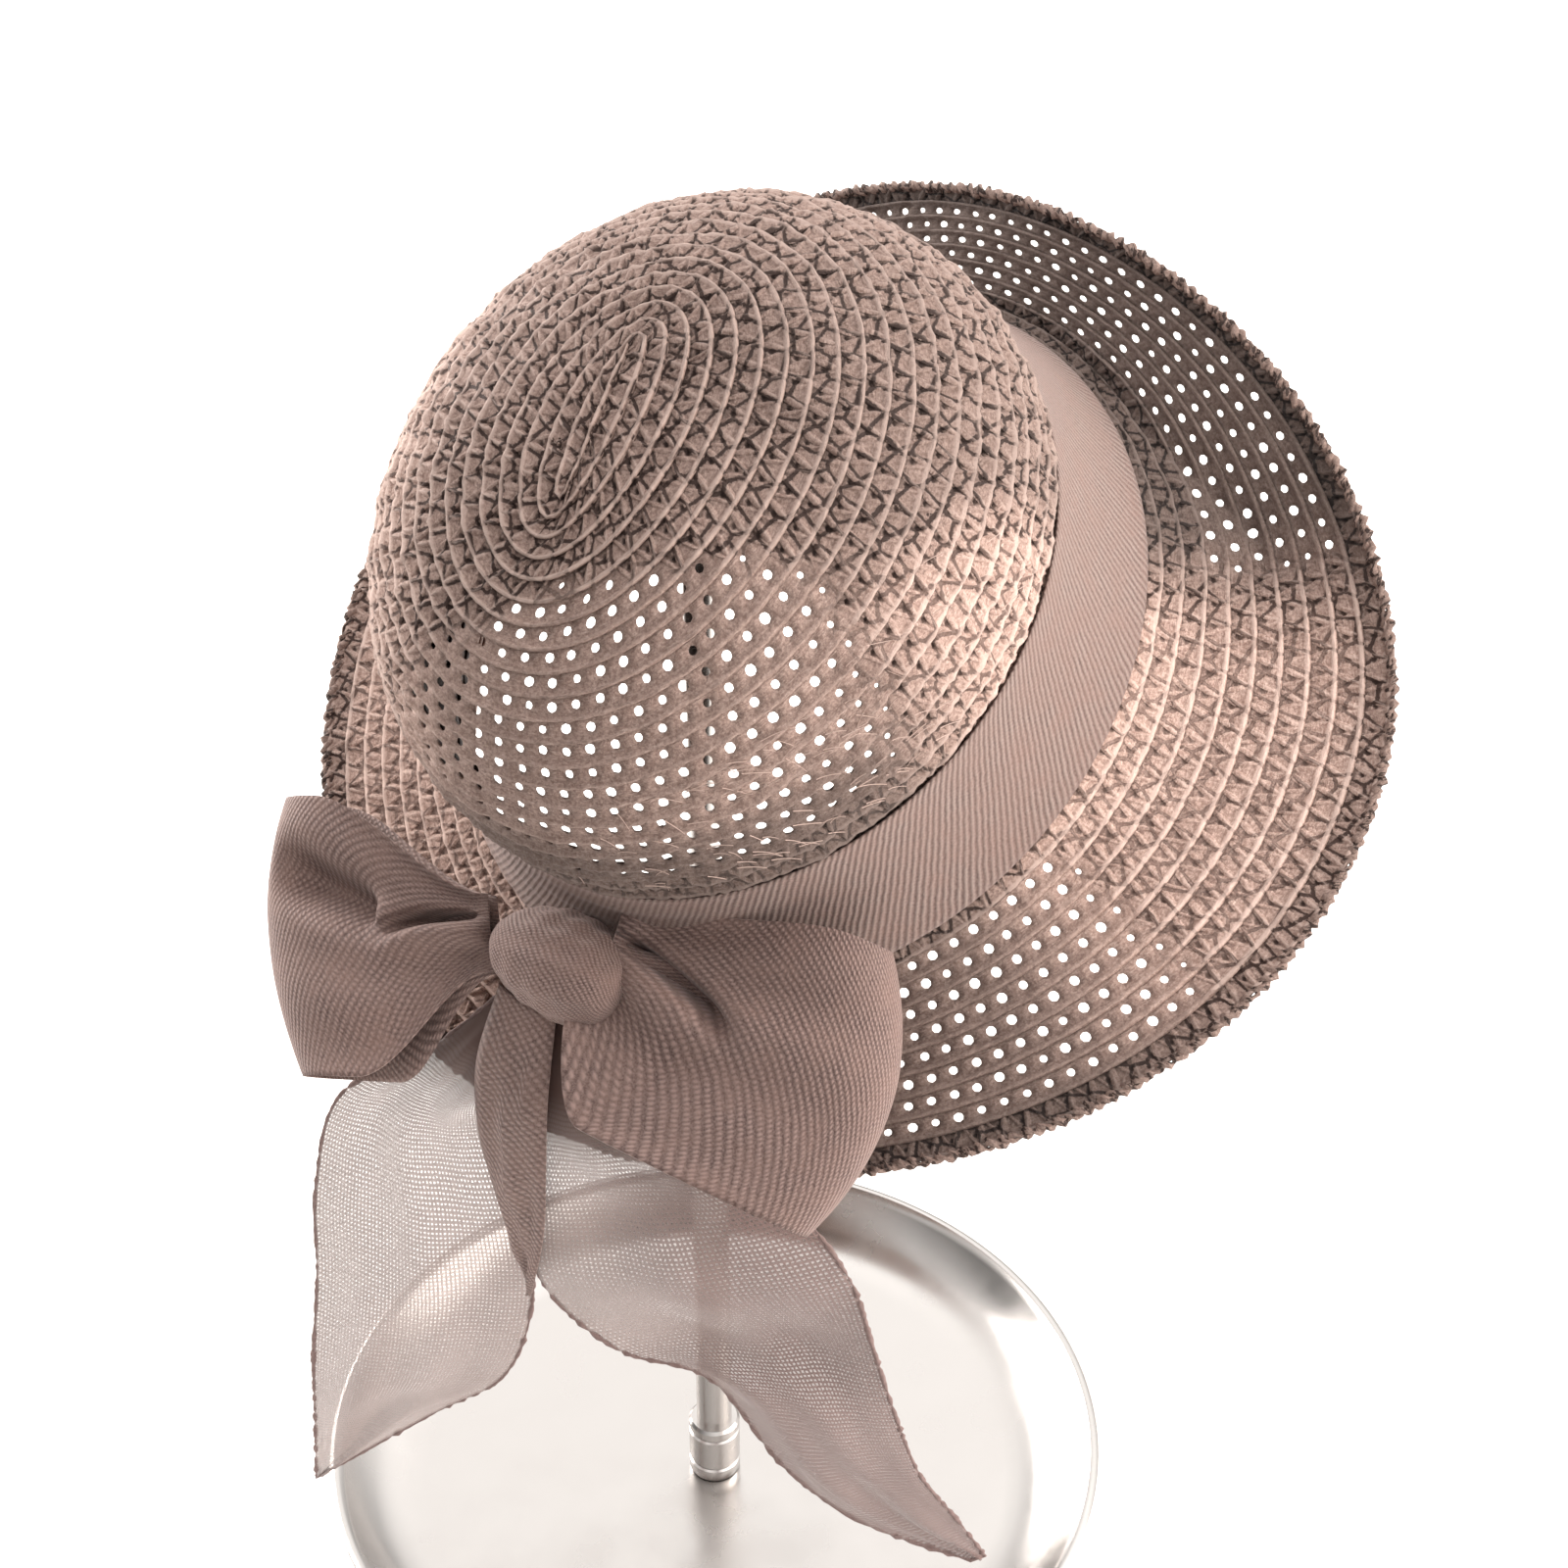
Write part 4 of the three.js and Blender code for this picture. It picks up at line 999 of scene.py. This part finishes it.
bpy.ops.mesh.primitive_uv_sphere_add(segments=72, ring_count=48, radius=1.0)
knot = bpy.context.object
knot.name = "bow_knot_roll"
ball = points_of(knot)
knot_lat = np.arcsin(np.clip(ball[:, 2], -1, 1))
knot_lon = np.arctan2(ball[:, 1], ball[:, 0])
crease = 1 + 0.05 * np.cos(3 * knot_lon + 0.6) * np.cos(knot_lat) + 0.025 * np.cos(
    11 * knot_lon + 2.0 * np.sin(2 * knot_lat)) * np.cos(knot_lat) ** 2
knot_girth = np.abs(np.cos(knot_lat)) ** 0.7 * crease
knot_ex = np.array([1.0, 0.2, 0.0]) / math.hypot(1.0, 0.2)
knot_ey = np.cross([0.0, 0.0, 1.0], knot_ex)
knot_rise = knot_girth * np.sin(knot_lon)
knot_folds = 0.035 * np.sin(17 * np.sin(knot_lat) + 1.5 * knot_rise) * smooth(-0.6, 0.8, knot_rise)
knot_width = 0.34 + np.sin(knot_lat) * (1.10 + 0.34 * knot_rise)
knot_points = (
    KNOT_AT + KNOT_HALF[0] * knot_width[:, None] * knot_ex
    + KNOT_HALF[1] * (knot_girth * np.cos(knot_lon) * (1 + knot_folds))[:, None] * knot_ey
    + (KNOT_LIFT + 1.12 * KNOT_HALF[2] * knot_rise)[:, None] * np.array([0.0, 0.0, 1.0]))
laid_on(knot, on_hat(knot_points), size=(KNOT_WRAP, RIBBON_WIDTH))
bpy.ops.object.mode_set(mode="EDIT")
bpy.ops.mesh.select_all(action="SELECT")
bpy.ops.mesh.normals_make_consistent(inside=False)
bpy.ops.object.mode_set(mode="OBJECT")
bpy.ops.object.shade_smooth()
knot.select_set(False)
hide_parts("bow_knot")
give(knot, gauze)


# Bow loops. Each is one length of the same ribbon, gathered in the knot, run out, turned over
# and brought back underneath. Root, tip and widths are in ribbon widths from the knot, and a
# crease says where along and across the loop it runs, how wide it is and how deep.
LOOP_CLOTH = 0.0006
LOOP_GRID = (56, 110)
LOOP_LENGTH = 0.18
LOOP_THICK = 0.1375
ROOT_GAP = 0.0325
PLEAT_DEPTH = 0.0625
PLEATS = 1.5
LOOPS = [
    {"name": "bow_loop_left", "root": (-0.205, -0.05, 0.055), "tip": (-0.9575, -0.5625, -0.05),
     "side": (59, -60, -12), "half_root": 0.135, "inner_root": 0.135, "half_inner": 0.475,
     "half_outer": 0.53, "spread_inner": 0.85, "spread_outer": 0.62, "spread_upper": 0.75,
     "puff": 0.0, "bulge": 0.10, "sag": 0.0375,
     "creases": [(0.10, 0.46, -0.38, 0.03, 0.10, 0.21), (0.48, 0.90, -0.15, -0.45, 0.20, 0.19)]},
    {"name": "bow_loop_right", "root": (0.2125, 0.1112, 0.0488), "tip": (1.255, 0.3812, -0.15),
     "side": (28, -72, -10), "half_root": 0.1, "inner_root": 0.26, "half_inner": 0.4625,
     "half_outer": 0.54, "spread_inner": 1.15, "spread_outer": 0.35, "spread_upper": 0.9,
     "puff": 0.275, "bulge": 0.14, "sag": 0.025,
     "creases": [(0.05, 0.48, -0.42, 0.03, 0.10, 0.24), (0.30, 0.95, 0.55, 0.35, 0.25, 0.03)]},
]


def loop_place(loop, u, v):
    """Point on a bow loop for shares across (u) and along (v) its ribbon, in the hat's axes."""
    root = np.array(loop["root"]) * RIBBON_WIDTH + KNOT_AT
    ahead = np.array(loop["tip"]) * RIBBON_WIDTH + KNOT_AT - root
    length = np.linalg.norm(ahead)
    ahead /= length
    side = np.array(loop["side"], float)
    side /= np.linalg.norm(side)
    up = np.cross(side, ahead)
    up /= np.linalg.norm(up)
    if up[2] < 0:
        up = -up
    w = 2 * u - 1
    angle = v * math.pi
    reach = np.clip(np.sin(angle), 0, 1) ** 0.8
    run = length * reach * (1 - loop["bulge"] * w * w * reach)
    opening = ROOT_GAP * np.cos(angle) + LOOP_THICK * np.sin(2 * angle)
    upper = np.cos(angle) > 0
    spread = np.where(upper, loop["spread_upper"], loop["spread_inner"])
    inner_root = np.where(upper, loop["inner_root"], loop["half_root"])
    inner = inner_root + (loop["half_inner"] - inner_root) * smooth(0, spread, reach)
    outer_spread = smooth(0, loop["spread_outer"], reach)
    outer = loop["half_root"] + (loop["half_outer"] - loop["half_root"]) * outer_spread
    half = np.where(w < 0, inner, outer)
    back = loop["puff"] * np.maximum(0, w) ** 2 * np.sin(math.pi * reach ** 0.6)
    gather = (1 - reach) ** 1.5 * np.sin(np.minimum(1, reach * 6) * math.pi / 2)
    pleat = PLEAT_DEPTH * gather * np.cos(PLEATS * math.pi * w) * np.cos(angle)
    ripple = 0.018 * np.sin(3.2 * math.pi * w + 4 * reach) * reach * (1 - reach) * 4 * np.cos(angle)
    lift = opening + pleat + ripple - loop["sag"] * w * w * reach
    for start, end, w_start, w_end, width, deep in loop["creases"]:
        line = w_start + (w_end - w_start) * (reach - start) / (end - start)
        fade = smooth(start - 0.06, start + 0.05, reach) * (1 - smooth(end - 0.15, end + 0.05, reach))
        valley = np.exp(-((w - line) / width) ** 2)
        lift = lift - deep * valley * fade * smooth(0.0, 0.35, np.cos(angle))
    lift = RIBBON_WIDTH * lift
    return (root + np.outer(run - RIBBON_WIDTH * back, ahead) + np.outer(RIBBON_WIDTH * half * w, side)
            + np.outer(lift, up))


for loop in LOOPS:
    piece = cloth_grid(
        loop["name"] + "_ribbon", *LOOP_GRID, lambda u, v: on_hat(loop_place(loop, u, v)), LOOP_CLOTH,
        size=(RIBBON_WIDTH, LOOP_LENGTH))
    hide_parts(loop["name"])
    give(piece, gauze)


# Bow tails. Two ends of the ribbon hang from the knot in one sheer layer and are cut on the
# slant. Rows give both edges, in ribbon widths from the knot along the stand's axes, and how
# far the middle bellies out.
TAIL_CLOTH = 0.0005
TAIL_GRID = (40, 150)
TAILS = [
    {"name": "bow_tail_left", "length": 0.235, "rows": [
        ((-0.144, -0.086, -0.173), (-0.019, -0.049, -0.185), 0.013),
        ((-0.344, -0.289, -0.479), (-0.069, -0.239, -0.529), 0.025),
        ((-0.594, -0.551, -0.754), (-0.081, -0.239, -0.729), 0.05),
        ((-0.669, -0.651, -1.204), (-0.006, -0.164, -1.229), 0.075),
        ((-0.694, -0.676, -1.679), (-0.006, -0.164, -1.642), 0.087),
        ((-0.731, -0.714, -2.154), (-0.119, -0.239, -2.054), 0.063),
        ((-0.756, -0.726, -2.529), (-0.356, -0.426, -2.342), 0.037),
        ((-0.781, -0.739, -2.879), (-0.744, -0.714, -2.829), 0.0)]},
    {"name": "bow_tail_right", "length": 0.245, "rows": [
        ((0.013, -0.051, -0.189), (0.131, -0.001, -0.177), 0.013),
        ((0.119, -0.226, -0.504), (0.469, 0.061, -0.479), 0.037),
        ((0.156, -0.239, -0.904), (0.844, 0.349, -0.704), 0.063),
        ((0.169, -0.226, -1.304), (1.031, 0.511, -1.054), 0.087),
        ((0.381, -0.051, -1.604), (1.106, 0.574, -1.404), -0.075),
        ((0.644, 0.186, -1.704), (1.169, 0.636, -1.754), 0.063),
        ((0.844, 0.361, -2.117), (1.244, 0.699, -2.054), 0.05),
        ((1.069, 0.561, -2.379), (1.344, 0.799, -2.279), 0.025),
        ((1.394, 0.836, -2.504), (1.431, 0.874, -2.467), 0.0)]},
]
KNOT_PLACE = on_hat(KNOT_AT[None])[0]


def tail_rows(rows, v):
    """A smooth curve through the rows of a tail: both edges and the belly at share v."""
    table = np.array([[*a, *b, belly] for a, b, belly in rows])
    span = v * (len(table) - 1)
    k = np.minimum(len(table) - 2, span.astype(int))
    t = (span - k)[:, None]
    a, b, c, d = [table[np.clip(k + shift, 0, len(table) - 1)] for shift in (-1, 0, 1, 2)]
    return 0.5 * (
        2 * b + (c - a) * t + (2 * a - 5 * b + 4 * c - d) * t * t + (3 * b - a - 3 * c + d) * t ** 3)


def tail_place(rows, u, v):
    """Point on a hanging strip of ribbon for shares across (u) and down (v), with its soft waves."""
    found = tail_rows(rows, v)
    a, b, belly = found[:, :3], found[:, 3:6], found[:, 6]
    face = unit(np.cross(b - a, [0.0, 0.0, 1.0]))
    wave = 0.016 * np.sin(7 * u + 9 * v) + 0.009 * np.sin(17 * u - 7 * v + 2)
    wave = wave + 0.007 * np.sin(9 * u + 31 * v)
    wave = wave * np.sin(u * math.pi) * smooth(0.0, 0.2, v)
    out = belly * np.sin(u * math.pi) + wave
    return (a + (b - a) * u[:, None] + face * out[:, None]) * RIBBON_WIDTH + KNOT_PLACE


# Single sheer gauze: open plain weave, so about half of it is air between the threads. It glows pale
# where the light comes through. It is dense and dark where it is bunched under the knot, which is partly
# the doubled cloth and partly painted shade, and painted shade darkens the tail that hangs to the right.
# The net is drawn some five times as coarse as the real 0.3 mm.
SHEER_WARP = 0.0014
SHEER_WEFT = 0.0016
BUNCHED_LENGTH = (0.022, 0.06)
sheer = new_material("single_mauve_gauze")
sheer_uv = add_node(sheer, "ShaderNodeUVMap", uv_map="cloth")
sheer_warp = add_node(sheer, "ShaderNodeTexWave", {
    "Vector": sheer_uv, "Scale": WAVE_REPEAT / SHEER_WARP, "Distortion": 1.8,
    "Detail": 2.0, "Detail Scale": 3.0}, bands_direction="X")
sheer_weft = add_node(sheer, "ShaderNodeTexWave", {
    "Vector": sheer_uv, "Scale": WAVE_REPEAT / SHEER_WEFT, "Distortion": 1.8,
    "Detail": 2.0, "Detail Scale": 3.0}, bands_direction="Y")
sheer_net = add_node(sheer, "ShaderNodeMath", {
    0: sheer_warp.outputs["Fac"], 1: sheer_weft.outputs["Fac"]}, operation="MAXIMUM")
sheer_cloud = add_node(sheer, "ShaderNodeTexNoise", {
    "Vector": add_node(sheer, "ShaderNodeTexCoord").outputs["Object"], "Scale": 45.0, "Detail": 6.0,
    "Roughness": 0.7})
net_tone = add_node(sheer, "ShaderNodeMapRange", {
    "Value": sheer_net, "From Min": 0.3, "From Max": 1.0})
cover = add_node(sheer, "ShaderNodeMapRange", {
    "Value": sheer_net, "From Min": 0.2, "From Max": 0.9, "To Min": 0.25, "To Max": 0.78})
sheer_colour = add_node(sheer, "ShaderNodeMix", {
    0: net_tone, 6: linear("c8bdb8"), 7: linear("7b6862")}, data_type="RGBA")
sheer_mixed = add_node(sheer, "ShaderNodeMix", {
    0: sheer_cloud, 6: sheer_colour, 7: linear("a89894")}, data_type="RGBA")
sheer_place = add_node(sheer, "ShaderNodeSeparateXYZ", {
    0: add_node(sheer, "ShaderNodeTexCoord").outputs["Object"]})
# Painted shade over the right tail, growing darker to the right of the knot.
right_shade_share = add_node(sheer, "ShaderNodeMapRange", {
    "Value": sheer_place.outputs["X"], "From Min": KNOT_PLACE[0] + 0.35 * RIBBON_WIDTH,
    "From Max": KNOT_PLACE[0] + 0.8 * RIBBON_WIDTH, "To Max": 0.75})
sheer_right_shaded = add_node(sheer, "ShaderNodeMix", {
    0: right_shade_share, 6: sheer_mixed, 7: linear("6d524d")}, data_type="RGBA")
sheer_length = add_node(sheer, "ShaderNodeSeparateXYZ", {0: sheer_uv})
bunched = add_node(sheer, "ShaderNodeMapRange", {
    "Value": sheer_length.outputs["Y"], "From Min": BUNCHED_LENGTH[0],
    "From Max": BUNCHED_LENGTH[1], "To Min": 1.0, "To Max": 0.0})
# Darker at the top: the bunched layers under the knot, with painted shade there as well.
bunched_and_shaded_top = add_node(sheer, "ShaderNodeMix", {
    0: bunched, 6: sheer_right_shaded, 7: linear("553f39")}, data_type="RGBA")
top_cover = add_node(sheer, "ShaderNodeMath", {0: cover, 1: bunched}, operation="MAXIMUM")
sheer_face = add_node(sheer, "ShaderNodeBsdfPrincipled", {
    "Base Color": bunched_and_shaded_top, "Roughness": 0.8, "Alpha": top_cover, "Sheen Weight": 0.2})
add_node(sheer, "ShaderNodeOutputMaterial", {"Surface": sheer_face})

# Raw hems: the cut edges are rolled and overcast, so the dark threads bunch into a fuzzy cord.
hem_thread = new_material("overcast_hem_thread")
hem_noise = add_node(hem_thread, "ShaderNodeTexNoise", {
    "Vector": add_node(hem_thread, "ShaderNodeTexCoord").outputs["Object"], "Scale": 700.0,
    "Detail": 4.0})
hem_colour = add_node(hem_thread, "ShaderNodeMix", {
    0: hem_noise, 6: linear("4d3a36"), 7: linear("8a7470")}, data_type="RGBA")
hem_bump = add_node(hem_thread, "ShaderNodeBump", {
    "Height": hem_noise, "Strength": 0.8, "Distance": 0.0004})
hem_face = add_node(hem_thread, "ShaderNodeBsdfPrincipled", {
    "Base Color": hem_colour, "Roughness": 0.85, "Normal": hem_bump})
add_node(hem_thread, "ShaderNodeOutputMaterial", {"Surface": hem_face})
HEM_RADIUS = 0.0006
HEM_POINTS = 150
HEM_START = 0.02

# The left tail's inner edge is turned over on itself, so a narrow strip of it hangs double and
# dark between the tails. Rows are as for the tails.
TURNED_EDGE = [
    ((-0.10, -0.15, -0.10), (0.14, -0.08, -0.12), 0.02),
    ((-0.12, -0.25, -0.40), (0.24, -0.20, -0.38), 0.02),
    ((-0.10, -0.28, -0.68), (0.28, -0.25, -0.66), 0.02),
    ((-0.02, -0.28, -0.95), (0.26, -0.26, -0.96), 0.02),
    ((0.06, -0.26, -1.20), (0.19, -0.26, -1.24), 0.01),
    ((0.09, -0.225, -1.42), (0.10, -0.23, -1.44), 0.0)]
EDGE_GRID = (8, 60)
EDGE_SIZE = (0.02, 0.11)
turned_edge = cloth_grid(
    "bow_tail_left_turned_edge", *EDGE_GRID, lambda u, v: tail_place(TURNED_EDGE, u, v), TAIL_CLOTH,
    size=EDGE_SIZE)
give(turned_edge, gauze)

for tail in TAILS:
    piece = cloth_grid(
        tail["name"] + "_ribbon", *TAIL_GRID, lambda u, v: tail_place(tail["rows"], u, v), TAIL_CLOTH,
        size=(RIBBON_WIDTH, tail["length"]))
    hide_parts(tail["name"])
    give(piece, sheer)
    down = np.linspace(HEM_START, 1, HEM_POINTS)
    up_again = np.linspace(1, HEM_START, HEM_POINTS)
    edge = np.concatenate([
        tail_place(tail["rows"], np.zeros(HEM_POINTS), down),
        tail_place(tail["rows"], np.ones(HEM_POINTS), up_again)])
    curve = bpy.data.curves.new(tail["name"] + "_hem", "CURVE")
    curve.dimensions = "3D"
    curve.bevel_depth = HEM_RADIUS
    curve.bevel_resolution = 1
    spline = curve.splines.new("POLY")
    spline.points.add(len(edge) - 1)
    for point, place in zip(spline.points, edge):
        point.co = (*place, 1.0)
        point.radius = 1 + 0.35 * random.normal()
    hem = bpy.data.objects.new(tail["name"] + "_hem", curve)
    bpy.context.scene.collection.objects.link(hem)
    hem.select_set(True)
    bpy.context.view_layer.objects.active = hem
    bpy.ops.object.convert(target="MESH")
    hem = bpy.context.object
    hem.select_set(False)
    give(hem, hem_thread)


# Studio. A plain matt floor, white round the stand and greyed towards the camera by painted shade, under
# a pale sky that is brightest overhead. Two soft windows stand to the right of the hat, one of them well
# ahead of it, and a soft fill stands to its left.
FLOOR_SIZE = 12.0
FLOOR_DROP = 0.0002  # under the stand, so that the two don't share a plane
bpy.ops.mesh.primitive_plane_add(size=FLOOR_SIZE, location=(0, 0, -FLOOR_DROP))
floor = bpy.context.object
floor.name = "floor"
white = new_material("matt_white_floor")
floor_place = add_node(white, "ShaderNodeSeparateXYZ", {
    0: add_node(white, "ShaderNodeTexCoord").outputs["Object"]})
# Painted shade: the floor greys towards the camera.
floor_shade_share = add_node(white, "ShaderNodeMapRange", {
    "Value": floor_place.outputs["Y"], "From Min": -0.75, "From Max": -0.2})
floor_painted_shade = add_node(white, "ShaderNodeMix", {
    0: floor_shade_share, 6: linear("8f8c89"), 7: linear("f6f5f3")}, data_type="RGBA")
paint = add_node(white, "ShaderNodeBsdfPrincipled", {"Base Color": floor_painted_shade, "Roughness": 0.6})
add_node(white, "ShaderNodeOutputMaterial", {"Surface": paint})
floor.data.materials.append(white)

world = bpy.data.worlds.new("white_room")
world.use_nodes = True
world.node_tree.nodes.clear()
facing = add_node(world, "ShaderNodeVectorMath", {
    0: add_node(world, "ShaderNodeTexCoord").outputs["Generated"], 1: (0.22, 0.28, 0.93)},
    operation="DOT_PRODUCT")
glow = add_node(world, "ShaderNodeMapRange", {
    "Value": facing, "From Min": 0.1, "From Max": 0.95, "To Min": 0.24, "To Max": 2.6})
sky = add_node(world, "ShaderNodeBackground", {"Color": linear("fffdfb"), "Strength": glow})
add_node(world, "ShaderNodeOutputWorld", {"Surface": sky})
bpy.context.scene.world = world

HAT_MIDDLE = Vector((0.0, 0.0, 0.35))
for name, place, width, power, tint in (
        ("window", (1.2, 1.15, 0.8), 1.1, 32.0, "fff6ee"),
        ("side_window", (1.6, 0.3, 0.75), 1.1, 6.0, "fff6ee"),
        ("left_fill", (-1.6, -0.35, 0.7), 1.2, 60.0, "fffaf6")):
    bpy.ops.object.light_add(type="AREA", location=place)
    lamp = bpy.context.object
    lamp.name = name
    lamp.data.size = width
    lamp.data.energy = power
    lamp.data.color = linear(tint)[:3]
    lamp.rotation_euler = (Vector(place) - HAT_MIDDLE).to_track_quat("Z", "Y").to_euler()
